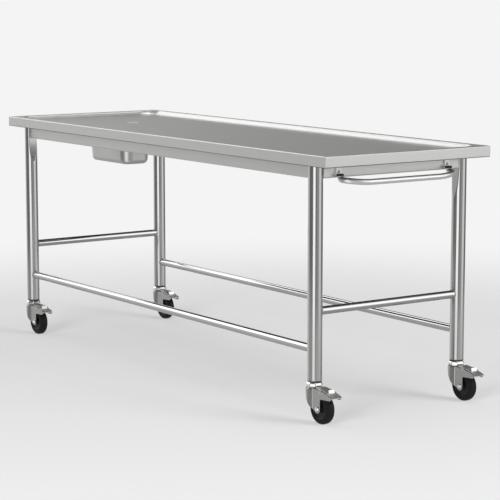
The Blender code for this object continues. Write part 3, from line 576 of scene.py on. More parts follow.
def steel(name, tone, stretch, roughness, contrast=0.10, relief=0.05, end_stretch=None):
    """Linished steel with grain along one direction, and along another on faces that look along X."""
    made, bench, shader, where = new_material(name)
    haze_scale, grain_depth = 5.0, 0.0004

    def grain(direction):
        values = {"Vector": where, "Stretch": direction}
        node = bench.add("ShaderNodeGroup", values, node_tree=grain_group())
        return node.outputs["Streak"], node.outputs["Height"]

    streak, height = grain(stretch)
    if end_stretch:
        end_streak, end_height = grain(end_stretch)
        facing = bench.add("ShaderNodeNewGeometry").outputs["Normal"]
        ahead = bench.math("ABSOLUTE", bench.add("ShaderNodeSeparateXYZ", {0: facing}).outputs["X"])
        turn = bench.span(ahead, 0.6, 0.8, 0.0, 1.0)
        streak = bench.blend(turn, streak, end_streak)
        height = bench.blend(turn, height, end_height)
    haze = haze_over(bench, where, haze_scale)
    tones = bench.mix(streak, toned(tone, 1 - contrast), toned(tone, 1 + contrast))
    bench.feed(shader.inputs["Base Color"], tones)
    worn = bench.math("MULTIPLY_ADD", haze, 0.5, bench.math("MULTIPLY", streak, 0.5))
    bench.feed(shader.inputs["Roughness"], bench.span(worn, 0.0, 1.0, *roughness))
    give_relief(bench, shader, height, relief, grain_depth)
    shader.inputs["Metallic"].default_value = 1.0
    return made


def dull(name, tone, pale, roughness, grain_size, relief, haze_scale):
    """Rubber or plastic with a moulded grain and paler scuffed clouds."""
    made, bench, shader, where = new_material(name)
    grain_depth, gloss = 0.0003, 0.22
    haze = haze_over(bench, where, haze_scale)
    bench.feed(shader.inputs["Base Color"], bench.mix(haze, toned(tone, 1), toned(tone, pale)))
    bench.feed(shader.inputs["Roughness"], bench.span(haze, 0.0, 1.0, *roughness))
    grain = bench.noise(where, 1 / grain_size, Detail=2.0)
    give_relief(bench, shader, grain, relief, grain_depth)
    shader.inputs["Metallic"].default_value = 0.0
    shader.inputs["Specular IOR Level"].default_value = gloss
    return made


def finish(key):
    """A finish by name, made the first time that a piece asks for it."""
    if key in bpy.data.materials:
        return bpy.data.materials[key]
    tones = bpy.context.scene.table_finishes
    along, across = 1.6, 240.0
    by_x, by_y, by_z = (along, across, across), (across, along, across), (across, across, along)
    buffed, tumbled, rolled, rippled = (60.0, 8.0, 60.0), (45.0,) * 3, (90.0, 90.0, 22.0), (180.0,) * 3
    makers = {
        "sheet_steel": lambda: steel(key, tones.sheet, by_x, (0.16, 0.26), end_stretch=by_y),
        "underside_painted_shade": lambda: steel(key, tones.underside, by_x, (0.42, 0.56), 0.08),
        "basin_steel": lambda: steel(key, tones.sheet, by_x, (0.32, 0.42), 0.05, end_stretch=by_y),
        "leg_steel": lambda: steel(key, tones.tube, by_z, (0.11, 0.18), 0.06),
        "long_stretcher_steel": lambda: steel(key, tones.tube, by_x, (0.10, 0.17), 0.06),
        "end_stretcher_steel": lambda: steel(key, tones.tube, by_y, (0.10, 0.17), 0.06),
        "polished_steel": lambda: steel(key, tones.polished, buffed, (0.04, 0.09), 0.03, 0.01),
        "plated_steel": lambda: steel(key, tones.plated, tumbled, (0.06, 0.12), 0.03, 0.01),
        "fork_steel": lambda: steel(key, tones.fork, rolled, (0.13, 0.21), 0.06, 0.03),
        "pedal_steel": lambda: steel(key, tones.pedal, rolled, (0.36, 0.50), 0.08, 0.05),
        "weld_metal": lambda: steel(key, tones.weld, rippled, (0.24, 0.42), 0.22, 0.10),
        "tyre_rubber": lambda: dull(key, tones.tyre, 1.9, (0.48, 0.68), 0.0006, 0.12, 30.0),
        "hub_plastic": lambda: dull(key, tones.hub, 1.6, (0.36, 0.52), 0.0008, 0.10, 40.0),
        "seal_rubber": lambda: dull(key, tones.seal, 1.7, (0.55, 0.75), 0.0007, 0.12, 60.0),
    }
    return makers[key]()


def tray_section(sizes, skirt_drop):
    """The folded sheet from floor top to floor underside: inset from the outer edge, height from the rim."""
    lean = math.degrees(sizes.lean)
    inner_fold = sizes.fold - sizes.sheet
    cove_drop = sizes.cove - sizes.depth
    cove_reach = sizes.fold + sizes.cove - (sizes.fold + cove_drop) * math.sin(sizes.lean)
    cove_at = (sizes.rim + cove_reach / math.cos(sizes.lean), cove_drop)
    foot = sizes.fold - skirt_drop
    top = arc(cove_at, sizes.cove, 270, 180 + lean, 12)
    top += arc((sizes.rim, -sizes.fold), sizes.fold, lean, 90, 6)
    top += arc((sizes.fold, -sizes.fold), sizes.fold, 90, 180, 6)
    top += arc((sizes.fold, foot), sizes.fold, 180, 270, 5)
    top += [(sizes.skirt_return, -skirt_drop)]
    under = [(sizes.skirt_return, sizes.sheet - skirt_drop)]
    under += arc((sizes.fold, foot), inner_fold, 270, 180, 3)
    under += arc((sizes.fold, -sizes.fold), inner_fold, 180, 90, 3)
    under += arc((sizes.rim, -sizes.fold), inner_fold, 90, lean, 3)
    under += arc(cove_at, sizes.cove + sizes.sheet, 180 + lean, 270, 8)
    return top + under


class TABLE_OT_tray(bpy.types.Operator):
    """Make the folded tray top with its rim, coved floor and skirt"""

    bl_idname = "autopsy_table.tray"
    bl_label = "Tray Top"

    def execute(self, context):
        sizes = context.scene.table_tray
        low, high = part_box("tray_top")
        half_x, half_y = (high.x - low.x) / 2, (high.y - low.y) / 2
        centre, drain = middle("tray_top"), middle("drain_gasket")
        flange_lap, drill_reach, looks_down = 0.0027, 0.02, -0.3

        def plan_radius(inset):
            if inset > sizes.rim - sizes.sheet:
                return sizes.corner + sizes.rim + sizes.fold - inset
            return max(sizes.skirt_corner - inset, sizes.sheet / 4)

        rings = [
            rounded_rectangle(half_x - inset, half_y - inset, plan_radius(inset), high.z + drop)
            for inset, drop in tray_section(sizes, high.z - low.z)
        ]
        mesh = moved(lofted(rings), (centre.x, centre.y, 0))
        bore = half_width("drain_body") - flange_lap
        hole = turned([(bore, low.z - drill_reach), (bore, high.z)])
        mesh = cut_by(mesh, moved(hole, (drain.x, drain.y, 0)))
        tray = finished("tray", mesh, finish("sheet_steel"), TABLE, "sheet_steel", "tray_top")
        # Faces that look down get the dark underside finish: painted shade under the tray.
        paint(tray, finish("underside_painted_shade"), lambda face: face.normal.z < looks_down)
        return {"FINISHED"}


def pressed_ring(radius, limit, crease, inward, height, inset, sides=72):
    """A round ring pressed flat on its two inward sides, with soft edges to the flats."""
    # A point this many creases inside the limit is not touched by the press.
    untouched = -20
    shrink = 1 - inset / radius
    ring = []
    for side in range(sides):
        turn = 2 * math.pi * side / sides
        point = []
        for place, facing in zip((radius * math.cos(turn), radius * math.sin(turn)), inward):
            over = (place * facing - limit) / crease
            if over > untouched:
                place = facing * (limit - crease * math.log1p(math.exp(-over)))
            point.append(place)
        ring.append((point[0] * shrink, point[1] * shrink, height))
    return ring


def leg_mesh(node, inward, apron_low, sizes):
    """A tube leg whose top is pressed flat towards the aprons."""
    low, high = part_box(node)
    centre = middle(node)
    radius = half_width(node)
    flat_low = apron_low - sizes.flat_below
    groove = sizes.foot_ring / 4
    # This far past the round, the press no longer touches it.
    soft = 6 * sizes.crease
    steps, easing = 40, 1.5
    heights = [low.z, low.z + sizes.foot_ring]
    heights += [flat_low - sizes.flat_run_out * (1 - step / steps) for step in range(steps + 1)]
    heights += [high.z]

    def ring(height, inset):
        run = min(1.0, max(0.0, (flat_low - height) / sizes.flat_run_out))
        limit = radius + soft - (sizes.flat_depth + soft) * (1 - run**easing)
        return pressed_ring(radius, limit, sizes.crease, inward, height, inset)

    outside = [ring(z, groove if z == low.z else 0.0) for z in heights]
    inside = [ring(z, sizes.leg_wall) for z in reversed(heights)]
    return moved(lofted(outside + inside, looped=True, sharp=ROUND_SHARP), (centre.x, centre.y, 0))


def coped_ends(node, along, leg_radius, legs, wall):
    """A stretcher's rings: its ends follow the round of the legs that it meets."""
    low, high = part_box(node)
    centre = middle(node)
    across = 1 - along
    radius = (high.z - low.z) / 2
    sides = 56
    rings = []
    for ring_radius, ends in ((radius, (0, 1)), (radius - wall, (1, 0))):
        for end in ends:
            toward = 1 if end else -1
            ring = []
            for side in range(sides):
                turn = 2 * math.pi * side / sides
                sideways = ring_radius * math.sin(turn)
                reach = math.sqrt(leg_radius**2 - sideways**2)
                point = [0.0, 0.0, centre.z + ring_radius * math.cos(turn)]
                point[along] = legs[end] - toward * reach
                point[across] = centre[across] + sideways
                ring.append(tuple(point))
            rings.append(ring)
    return rings


def stretcher_data():
    """For each stretcher: its name, the axis it runs along and the legs' places at its two ends."""
    lows, highs = middle("leg_front_left"), middle("leg_back_right")
    for side in SIDES:
        yield f"stretcher_{side}", 0, (lows.x, highs.x)
    for end in ENDS:
        yield f"stretcher_{end}", 1, (lows.y, highs.y)


class TABLE_OT_tubes(bpy.types.Operator):
    """Make the tube legs with their pressed tops and the stretchers between them"""

    bl_idname = "autopsy_table.tubes"
    bl_label = "Legs and Stretchers"

    def execute(self, context):
        sizes = context.scene.table_frame
        apron_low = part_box("apron_front")[0].z
        for corner in CORNERS:
            node = f"leg_{corner}"
            inward = (-1 if "right" in corner else 1, -1 if "back" in corner else 1)
            mesh = leg_mesh(node, inward, apron_low, sizes)
            leg = finished(f"tube_{node}", mesh, finish("leg_steel"), TABLE, "tube_steel", node)
            ring_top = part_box(node)[0].z + sizes.foot_ring
            paint(leg, finish("seal_rubber"), lambda face: face.center.z < ring_top)
        radius = half_width("leg_front_left") + FIT
        for node, along, legs in stretcher_data():
            mesh = lofted(coped_ends(node, along, radius, legs, sizes.stretcher_wall), looped=True)
            tube = "end_stretcher_steel" if along else "long_stretcher_steel"
            finished(f"tube_{node}", mesh, finish(tube), TABLE, "tube_steel", node)
        return {"FINISHED"}


def apron_section(face, lip, low, high, sizes):
    """A folded C section between two heights, its back at the face and its flanges out to the lip."""
    inwards = 1 if lip > face else -1
    bend, sheet = sizes.apron_bend, sizes.apron_sheet

    def fold(height, radius, start, end, steps):
        return [(face + inwards * (bend - x), y) for x, y in arc((0, height), radius, start, end, steps)]

    section = [(lip, low)]
    section += fold(low + bend, bend, 270, 360, 6)
    section += fold(high - bend, bend, 0, 90, 6)
    section += [(lip, high), (lip, high - sheet)]
    section += fold(high - bend, bend - sheet, 90, 0, 4)
    section += fold(low + bend, bend - sheet, 0, -90, 4)
    section += [(lip, low + sheet)]
    return section


class TABLE_OT_aprons(bpy.types.Operator):
    """Make the folded aprons under the tray and the runners of the basin"""

    bl_idname = "autopsy_table.aprons"
    bl_label = "Aprons and Runners"

    def execute(self, context):
        sizes = context.scene.table_frame
        for side in SIDES + ENDS:
            node = f"apron_{side}"
            low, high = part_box(node)
            along = "X" if side in SIDES else "Y"
            across = 1 if side in SIDES else 0
            outer, inner = (low, high) if side in ("front", "left") else (high, low)
            section = apron_section(outer[across], inner[across], low.z, high.z, sizes)
            start, end = (low.x, high.x) if along == "X" else (low.y, high.y)
            mesh = extruded(section, start, end, along)
            finished(f"folded_{node}", mesh, finish("sheet_steel"), TABLE, "sheet_steel", node)
        for side in SIDES:
            node = f"basin_runner_{side}"
            mesh = softened_copy(node, sizes.runner_edge)
            finished(f"folded_{node}", mesh, finish("sheet_steel"), TABLE, "sheet_steel", node)
        return {"FINISHED"}


def end_tree(bench, given, result, geometry):
    """Ends a geometry tree with the material that it is given."""
    values = {"Geometry": geometry, "Material": given.outputs["Material"]}
    dressed = bench.add("GeometryNodeSetMaterial", values)
    bench.feed(result.inputs["Geometry"], dressed.outputs["Geometry"])


def ripple_tree():
    """A geometry tree that lays weld ripples along every path of its mesh."""
    narrow, broad, flatness, seed = 0.88, 1.1, 0.8, 7
    tree, bench, given, result = new_tree(
        "Weld ripples",
        "GeometryNodeTree",
        {"Paths": "geometry", "Spacing": "value", "Bead": "value", "Material": "material"},
        {"Geometry": "geometry"},
    )
    curve = bench.add("GeometryNodeMeshToCurve", {"Mesh": given.outputs["Paths"]})
    evened = bench.add("GeometryNodeResampleCurve", {"Curve": curve.outputs["Curve"]}, mode="LENGTH")
    bench.feed(evened.inputs["Length"], given.outputs["Spacing"])
    drop = bench.add("GeometryNodeMeshUVSphere", {"Segments": 10, "Rings": 6, "Radius": 1.0})
    heading = bench.add("GeometryNodeInputTangent")
    aim = bench.add("FunctionNodeAlignRotationToVector", {"Vector": heading.outputs["Tangent"]}, axis="X")
    chance = bench.add("FunctionNodeRandomValue", {2: narrow, 3: broad, "Seed": seed}, data_type="FLOAT")
    width = bench.math("MULTIPLY", given.outputs["Bead"], chance.outputs[1])
    size = bench.add("ShaderNodeCombineXYZ", {"X": width, "Y": width})
    bench.feed(size.inputs["Z"], bench.math("MULTIPLY", width, flatness))
    drops = bench.add(
        "GeometryNodeInstanceOnPoints",
        {
            "Points": evened.outputs["Curve"],
            "Instance": drop.outputs["Mesh"],
            "Rotation": aim.outputs["Rotation"],
            "Scale": size.outputs["Vector"],
        },
    )
    real = bench.add("GeometryNodeRealizeInstances", {"Geometry": drops.outputs["Instances"]})
    smooth = bench.add("GeometryNodeSetShadeSmooth", {"Geometry": real.outputs["Geometry"]})
    end_tree(bench, given, result, smooth.outputs["Geometry"])
    return tree


def made_by_tree(mesh, tree, values):
    """The plain mesh that a geometry tree makes from a mesh, its inputs given by name."""
    work = working_object(mesh)
    modifier = work.modifiers.new("Tree", "NODES")
    modifier.node_group = tree
    for item in tree.interface.items_tree:
        if item.item_type == "SOCKET" and item.in_out == "INPUT" and item.name in values:
            modifier[item.identifier] = values[item.name]
    return evaluated_mesh(work)


def path_mesh(paths):
    """Open or closed lines of points as one mesh of edges; a path is its points and whether it closes."""
    shape = bmesh.new()
    for points, closed in paths:
        verts = [shape.verts.new(point) for point in points]
        pairs = list(zip(verts, verts[1:]))
        if closed:
            pairs.append((verts[-1], verts[0]))
        for pair in pairs:
            shape.edges.new(pair)
    mesh = bpy.data.meshes.new("paths")
    shape.to_mesh(mesh)
    shape.free()
    return mesh


class TABLE_OT_welds(bpy.types.Operator):
    """Lay the weld beads where stretchers and aprons meet the legs"""

    bl_idname = "autopsy_table.welds"
    bl_label = "Weld Beads"

    def execute(self, context):
        sizes = context.scene.table_frame
        off_leg, off_tube = 0.35 * sizes.bead, 0.3 * sizes.bead
        from_foot, from_top = 0.002, 0.004
        paths = []
        radius = half_width("leg_front_left") + off_leg
        for node, along, legs in stretcher_data():
            rings = coped_ends(node, along, radius, legs, -off_tube)
            paths += [(ring, True) for ring in rings[2:]]
        for side in SIDES + ENDS:
            low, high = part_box(f"apron_{side}")
            along, across = (0, 1) if side in SIDES else (1, 0)
            face = (low if side in ("front", "left") else high)[across]
            for place in (low[along], high[along]):
                x, y = (place, face) if side in SIDES else (face, place)
                paths.append(([(x, y, low.z + from_foot), (x, y, high.z - from_top)], False))
        values = {"Spacing": sizes.ripple, "Bead": sizes.bead, "Material": finish("weld_metal")}
        mesh = made_by_tree(path_mesh(paths), ripple_tree(), values)
        finished("weld_beads", mesh, finish("weld_metal"), TABLE, "tube_steel")
        return {"FINISHED"}


def perforated_tree():
    """A geometry tree that drills rings of holes through the disc that it is given."""
    inputs = {"Disc": "geometry", "Rings": "whole", "First": "value", "Step": "value"}
    inputs |= {"Hole": "value", "Material": "material"}
    tree, bench, given, result = new_tree(
        "Perforated disc", "GeometryNodeTree", inputs, {"Geometry": "geometry"}
    )
    drill_sides, drill_length = 14, 0.02
    joined = bench.add("GeometryNodeJoinGeometry")
    for ring in range(1, MOST_RINGS + 1):
        reach = bench.math("MULTIPLY_ADD", given.outputs["Step"], float(ring - 1), given.outputs["First"])
        circle = bench.add(
            "GeometryNodeMeshCircle", {"Vertices": FIRST_RING_HOLES * ring, "Radius": reach}
        )
        wanted = bench.add("FunctionNodeCompare", {2: given.outputs["Rings"], 3: ring}, data_type="INT")
        wanted.operation = "GREATER_EQUAL"
        drill = bench.add(
            "GeometryNodeMeshCylinder",
            {"Vertices": drill_sides, "Depth": drill_length, "Radius": given.outputs["Hole"]},
        )
        placed = bench.add(
            "GeometryNodeInstanceOnPoints",
            {
                "Points": circle.outputs["Mesh"],
                "Selection": wanted.outputs["Result"],
                "Instance": drill.outputs["Mesh"],
            },
        )
        tree.links.new(placed.outputs["Instances"], joined.inputs[0])
    real = bench.add("GeometryNodeRealizeInstances", {"Geometry": joined.outputs["Geometry"]})
    drilled = bench.add(
        "GeometryNodeMeshBoolean",
        {"Mesh 1": given.outputs["Disc"], "Mesh 2": real.outputs["Geometry"]},
        operation="DIFFERENCE",
        solver="EXACT",
    )
    plain = bench.add("GeometryNodeRealizeInstances", {"Geometry": drilled.outputs["Mesh"]})
    end_tree(bench, given, result, plain.outputs["Geometry"])
    return tree


def waste_profile(flange, cup, seat, thread_top, low, high):
    """The waste in the tray floor: round flange, threaded tube, and a cup over a narrower throat."""
    wall, ledge, flange_sheet = 0.0017, 0.0043, 0.0018
    flange_edge, bevel, throat_bevel, seat_bevel = 0.0012, 0.0006, 0.0005, 0.0004
    threads, pitch, thread_depth = 9, 0.0011, 0.0005
    outer, throat = cup + wall, cup - ledge
    under_flange = high - flange_sheet + FIT
    profile = arc((cup + bevel, high - bevel), bevel, 180, 90, 3)
    profile += arc((flange - flange_edge, high - flange_edge), flange_edge, 90, 0, 5)
    profile += [(flange, under_flange), (outer, under_flange)]
    for thread in range(threads):
        crest = thread_top - thread * pitch
        profile += [(outer, crest), (outer - thread_depth, crest - pitch / 2)]
    profile += [(outer, low + bevel), (outer - bevel, low)]
    profile += [(throat + throat_bevel, low), (throat, low + throat_bevel)]
    profile += [(throat, seat - seat_bevel), (throat + seat_bevel, seat), (cup, seat)]
    return profile


def strainer_profile(radius, sheet, height):
    """The strainer before it is drilled: a disc with broken edges and a knob on a thin neck."""
    bevel, fillet = 0.0003, 0.0008
    neck_foot, neck, neck_top = 0.0024, 0.0014, 0.0016
    head_round, head_drop = 0.0016, 0.0018
    profile = [(0.0, 0.0), (radius - bevel, 0.0), (radius, bevel), (radius, sheet - bevel)]
    profile += [(radius - bevel, sheet), (neck_foot, sheet), (neck, sheet + fillet)]
    profile += [(neck_top, height - head_drop)]
    profile += arc((neck, height - head_round), head_round, 0, 90, 5)
    return profile + [(0.0, height)]


class TABLE_OT_drain(bpy.types.Operator):
    """Make the waste in the tray floor, its lift-out strainer, gasket and backnut"""

    bl_idname = "autopsy_table.drain"
    bl_label = "Drain"

    def execute(self, context):
        sizes = context.scene.table_fittings
        metal, slot = finish("polished_steel"), "polished_steel"
        below_gasket = 0.009
        low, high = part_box("drain_body")
        strainer_low, strainer_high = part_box("drain_strainer")
        centre = middle("drain_body")
        radius = half_width("drain_strainer")
        thread_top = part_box("drain_gasket")[0].z - below_gasket
        waste = waste_profile(
            half_width("drain_body"), radius + FIT, strainer_low.z - FIT, thread_top, low.z, high.z
        )
        mesh = moved(turned(waste, looped=True), (centre.x, centre.y, 0))
        finished("drain_waste", mesh, metal, TABLE, slot, "drain_body")

        disc = strainer_profile(radius, sizes.strainer_sheet, strainer_high.z - strainer_low.z)
        last = radius - sizes.strainer_edge
        values = {
            "Rings": sizes.strainer_rings,
            "First": sizes.strainer_first,
            "Step": (last - sizes.strainer_first) / (MOST_RINGS - 1),
            "Hole": sizes.strainer_hole / 2,
            "Material": metal,
        }
        drilled = made_by_tree(turned(disc, sides=48), perforated_tree(), values)
        mesh = moved(cleaned(drilled), (centre.x, centre.y, strainer_low.z))
        finished("strainer", mesh, metal, "lift_out_strainer", slot, "drain_strainer")

        mesh = softened_copy("drain_backnut", sizes.backnut_edge)
        finished("backnut", mesh, metal, TABLE, slot, "drain_backnut")
        dress("drain_gasket", finish("seal_rubber"))
        return {"FINISHED"}


class TABLE_OT_basin(bpy.types.Operator):
    """Make the deep-drawn basin that hangs on the runners"""

    bl_idname = "autopsy_table.basin"
    bl_label = "Basin"

    def execute(self, context):
        sizes = context.scene.table_fittings
        low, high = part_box("basin")
        half_x = (high.x - low.x) / 2 - sizes.basin_flange
        half_y = (high.y - low.y) / 2 - sizes.basin_flange
        sheet, foot, neck = sizes.basin_sheet, sizes.basin_foot, sizes.basin_neck
        taper, edge = sizes.basin_taper, sizes.basin_sheet / 3
        depth = high.z - low.z
        flange = -sizes.basin_flange
        outside = arc((taper + foot, foot - depth), foot, 270, 180, 8)
        outside += arc((-neck + sheet, -neck), neck - sheet, 0, 90, 4)
        outside += [(flange + edge, -sheet), (flange, edge - sheet), (flange, -edge), (flange + edge, 0)]
        inside = arc((-neck + sheet, -neck), neck, 90, 0, 6)
        inside += arc((taper + foot, foot - depth), foot - sheet, 180, 270, 8)
        rings = [
            rounded_rectangle(half_x - inset, half_y - inset, sizes.basin_corner - inset, high.z + drop)
            for inset, drop in outside + inside
        ]
        centre = middle("basin")
        mesh = moved(lofted(rings), (centre.x, centre.y, 0))
        finished("drawn_basin", mesh, finish("basin_steel"), "sliding_basin", "sheet_steel", "basin")
        return {"FINISHED"}


def handle_path(sizes, bar):
    """The handle's centre line: down from a bracket, an elbow, a long corner to the grip, and back."""
    low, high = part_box("push_handle")
    centre = middle("push_handle")
    socket_x, grip_x = low.x + bar, high.x - bar
    half = (high.y - low.y) / 2 - bar
    level = low.z + bar
    bend, fall = sizes.handle_elbow, sizes.handle_fall
    first = [(socket_x, centre.y - half, high.z)]
    elbow = arc((socket_x + bend, level + fall + bend), bend, 180, 270, 14)
    first += [(x, centre.y - half, z) for x, z in elbow]
    for out, along in arc((0, 0), 1, 270, 360, 20):
        x = grip_x - sizes.handle_corner * (1 - out)
        y = centre.y - half + sizes.handle_sweep * (1 + along)
        first.append((x, y, level + fall * along**2))
    return first + [(x, 2 * centre.y - y, z) for x, y, z in reversed(first)]


def bar_mesh(path, radius):
    """A round bar with closed ends along a path."""
    curve = bpy.data.curves.new("bar", "CURVE")
    curve.dimensions = "3D"
    curve.bevel_depth = radius
    curve.bevel_resolution = 10
    curve.use_fill_caps = True
    spline = curve.splines.new("POLY")
    spline.points.add(len(path) - 1)
    for point, place in zip(spline.points, path):
        point.co = (*place, 1)
    return cleaned(evaluated_mesh(working_object(curve)), ROUND_SHARP)


def screw_mesh(head, height, shank, depth):
    """A button-head screw along X with a hex socket, the underside of its head at zero."""
    socket_radius, socket_depth = 0.46 * head, 0.6 * depth
    z_to_x = Matrix(((0, 0, 1, 0), (1, 0, 0, 0), (0, 1, 0, 0), (0, 0, 0, 1)))
    profile = [(0.0, height)] + arc((head - height, 0.0), height, 70, 8, 6)
    profile += [(head, 0.0), (shank, 0.0), (shank, -depth), (0.0, -depth)]
    socket = turned([(socket_radius, -socket_depth), (socket_radius, height + depth)], sides=6)
    mesh = cut_by(turned(profile, sides=36), socket)
    mesh.transform(z_to_x)
    return mesh


def fastener_tree():
    """A geometry tree that puts a fastener on every point of its mesh."""
    tree, bench, given, result = new_tree(
        "Fasteners",
        "GeometryNodeTree",
        {"Points": "geometry", "Fastener": "object", "Material": "material"},
        {"Geometry": "geometry"},
    )
    shape = bench.add("GeometryNodeObjectInfo", {"Object": given.outputs["Fastener"]})
    placed = bench.add(
        "GeometryNodeInstanceOnPoints",
        {"Points": given.outputs["Points"], "Instance": shape.outputs["Geometry"]},
    )
    real = bench.add("GeometryNodeRealizeInstances", {"Geometry": placed.outputs["Instances"]})
    end_tree(bench, given, result, real.outputs["Geometry"])
    return tree


class TABLE_OT_handle(bpy.types.Operator):
    """Make the push handle, its brackets and their screws"""

    bl_idname = "autopsy_table.handle"
    bl_label = "Push Handle"

    def execute(self, context):
        sizes = context.scene.table_fittings
        metal, slot = finish("polished_steel"), "polished_steel"
        on_plate, past_plate = 0.0001, 0.001
        shank, shank_depth = 0.0025, 0.010
        low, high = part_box("push_handle")
        bar = (high.y - low.y) / 2 - abs(middle("handle_bracket_front").y)
        mesh = bar_mesh(handle_path(sizes, bar), bar)
        finished("push_bar", mesh, metal, TABLE, slot, "push_handle")
        for side in SIDES:
            node = f"handle_bracket_{side}"
            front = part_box(node)[0].x + sizes.bracket_sheet
            across = middle(node).y
            shape = merged_copy(node)
            for vert in shape.verts:
                if vert.co.x < front + on_plate:
                    vert.co.y = across + (vert.co.y - across) * sizes.bracket_waist
            soften(shape, sizes.bracket_edge, segments=3)
            bracket = finished(f"cast_bracket_{side}", mesh_from(shape), metal, TABLE, slot, node)
            # The sockets past the plate get the black plastic finish as painted shade, standing for the
            # shadow in the gap under each bracket plate.
            paint(bracket, finish("hub_plastic"), lambda face: face.center.x > front + past_plate)
        nodes = [f"handle_screw_{side}_{level}" for side in SIDES for level in ("low", "high")]
        low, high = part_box(nodes[0])
        head = (high.z - low.z) / 2
        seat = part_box("handle_bracket_front")[0].x + sizes.bracket_sheet + FIT
        paths = [([(seat, middle(node).y, middle(node).z)], False) for node in nodes]
        screw = working_object(screw_mesh(head, high.x - seat, shank, shank_depth))
        values = {"Fastener": screw, "Material": metal}
        mesh = made_by_tree(path_mesh(paths), fastener_tree(), values)
        bpy.data.objects.remove(screw)
        finished("bracket_screws", mesh, metal, TABLE, slot, *nodes)
        return {"FINISHED"}


def tyre_profile(radius, width, sizes):
    """Tread crown, round shoulders, side walls with a moulded step and the bead on the rim."""
    step_top, step_foot, step_in = 0.0022, 0.0016, 0.0009
    half = width / 2
    shoulder = sizes.shoulder
    bead = radius - sizes.tyre + FIT
    side = arc((half - shoulder, radius - shoulder), shoulder, 90, 12, 10)
    side += [(half, bead + step_top), (half - step_in, bead + step_foot), (half - step_in, bead)]
    lower = [(place, -across) for across, place in side]
    upper = [(place, across) for across, place in reversed(side)]
    return upper + lower


def hub_profile(rim, half, web, boss_half):
    """A wheel centre with a rounded rim, a dished web and a boss."""
    # The rim's values run inwards from it and the boss's outwards; a pair also has a depth or height.
    bore, boss = 0.0053, 0.010
    rim_edge, rim_inside, lip = 0.001, 0.005, (0.0065, 0.002)
    slope_foot, web_outside = (0.0075, 0.0006), 0.0095
    boss_foot, boss_fillet, boss_edge = 0.002, ((0.0006, 0.0004), (0.0, 0.0012)), 0.0006
    top = [(rim, half - rim_edge), (rim - rim_edge, half), (rim - rim_inside, half)]
    top += [(rim - lip[0], half - lip[1]), (rim - slope_foot[0], web + slope_foot[1])]
    top += [(rim - web_outside, web), (boss + boss_foot, web)]
    top += [(boss + out, web + up) for out, up in boss_fillet]
    top += [(boss, boss_half - boss_edge), (boss - boss_edge, boss_half), (bore, boss_half)]
    return [(place, -across) for place, across in top] + top[::-1]


def axle_profile(tip, head):
    """An axle with a ring pressed into each end, round heads and a plain shaft between them."""
    head_height, head_edge, head_face, shaft = 0.0035, 0.0022, 0.78, 0.005
    # Radius and depth along the pressed ring.
    dent = ((0.0022, 0.0), (0.0026, 0.0006), (0.0034, 0.0006), (0.004, 0.0))
    seat = tip - head_height
    half = [(0.0, tip)] + [(place, tip - depth) for place, depth in dent]
    half += [(head * head_face, tip), (head, tip - head_edge), (head, seat), (shaft, seat)]
    return half + [(place, -across) for place, across in reversed(half)]


def turned_on_axle(profile, place, sides, looped=True):
    """A profile turned about a wheel's axle, which lies along Y."""
    mesh = turned(profile, sides, looped)
    mesh.transform(Matrix.Rotation(math.radians(90), 4, "X"))
    return moved(mesh, place)


# The side of a castor nut: shares of its height, and of its width there.
NUT_SIDE = (
    (0.0, 0.90),
    (0.08, 0.945),
    (0.22, 0.98),
    (0.40, 1.0),
    (0.55, 0.985),
    (0.69, 0.95),
    (0.82, 0.89),
    (0.92, 0.80),
    (1.0, 0.70),
)


def nut_mesh(node, sizes):
    """A barrel-shaped nut with facets all round and round upright edges."""
    bore, facets, parts = 0.0063, 8, 10
    low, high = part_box(node)
    centre = middle(node)
    half_turn = math.pi / facets
    corner = sizes.nut_corner
    inner = (sizes.nut_flats / 2 - corner) / math.cos(half_turn)
    outline = []
    for facet in range(facets):
        at = sizes.nut_turn + 2 * half_turn * facet
        for step in range(parts + 1):
            facing = at + half_turn * (2 * step / parts - 1)
            x = inner * math.cos(at) + corner * math.cos(facing)
            y = inner * math.sin(at) + corner * math.sin(facing)
            outline.append((x, y))
    rows = []
    for rise, width in NUT_SIDE:
        height = low.z + rise * (high.z - low.z)
        rows.append([(x * width, y * width, height) for x, y in outline])
    mouth = [(x * bore / math.hypot(x, y), y * bore / math.hypot(x, y)) for x, y in outline]
    for height in (high.z, low.z):
        rows.append([(x, y, height) for x, y in mouth])
    return moved(lofted(rows, looped=True, sharp=ROUND_SHARP), (centre.x, centre.y, 0))


def fork_mesh(node, sizes):
    """The pressed fork with a drawn radius around its roof and broken sheet edges."""
    collar, nose = 0.0195, 0.0305
    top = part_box(node)[1].z
    axis = middle(node.replace("fork", "nut"))
    shape = merged_copy(node)

    def drawn(edge):
        on_roof = all(abs(vert.co.z - top) < SAME_SOLID_POINT for vert in edge.verts)
        far = all(math.hypot(vert.co.x - axis.x, vert.co.y - axis.y) > collar for vert in edge.verts)
        behind = all(vert.co.x - axis.x < nose for vert in edge.verts)
        return on_roof and far and behind

    soften(shape, sizes.press_radius, segments=4, above=60.0, chosen=drawn)
    soften(shape, sizes.sheet_edge, above=40.0)
    return mesh_from(shape, SHEET_SHARP)


def pedal_mesh(node, sizes):
    """The brake pedal with broken sheet edges, its tab leaning back."""
    over_roof, tab_reach = 0.001, 0.045
    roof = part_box(node.replace("pedal", "fork"))[1].z
    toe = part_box(node)[1].x
    shape = merged_copy(node)
    for vert in shape.verts:
        if vert.co.z > roof + over_roof and vert.co.x > toe - tab_reach:
            vert.co.x -= sizes.tab_lean
    soften(shape, sizes.sheet_edge, above=40.0)
    return mesh_from(shape, SHEET_SHARP)


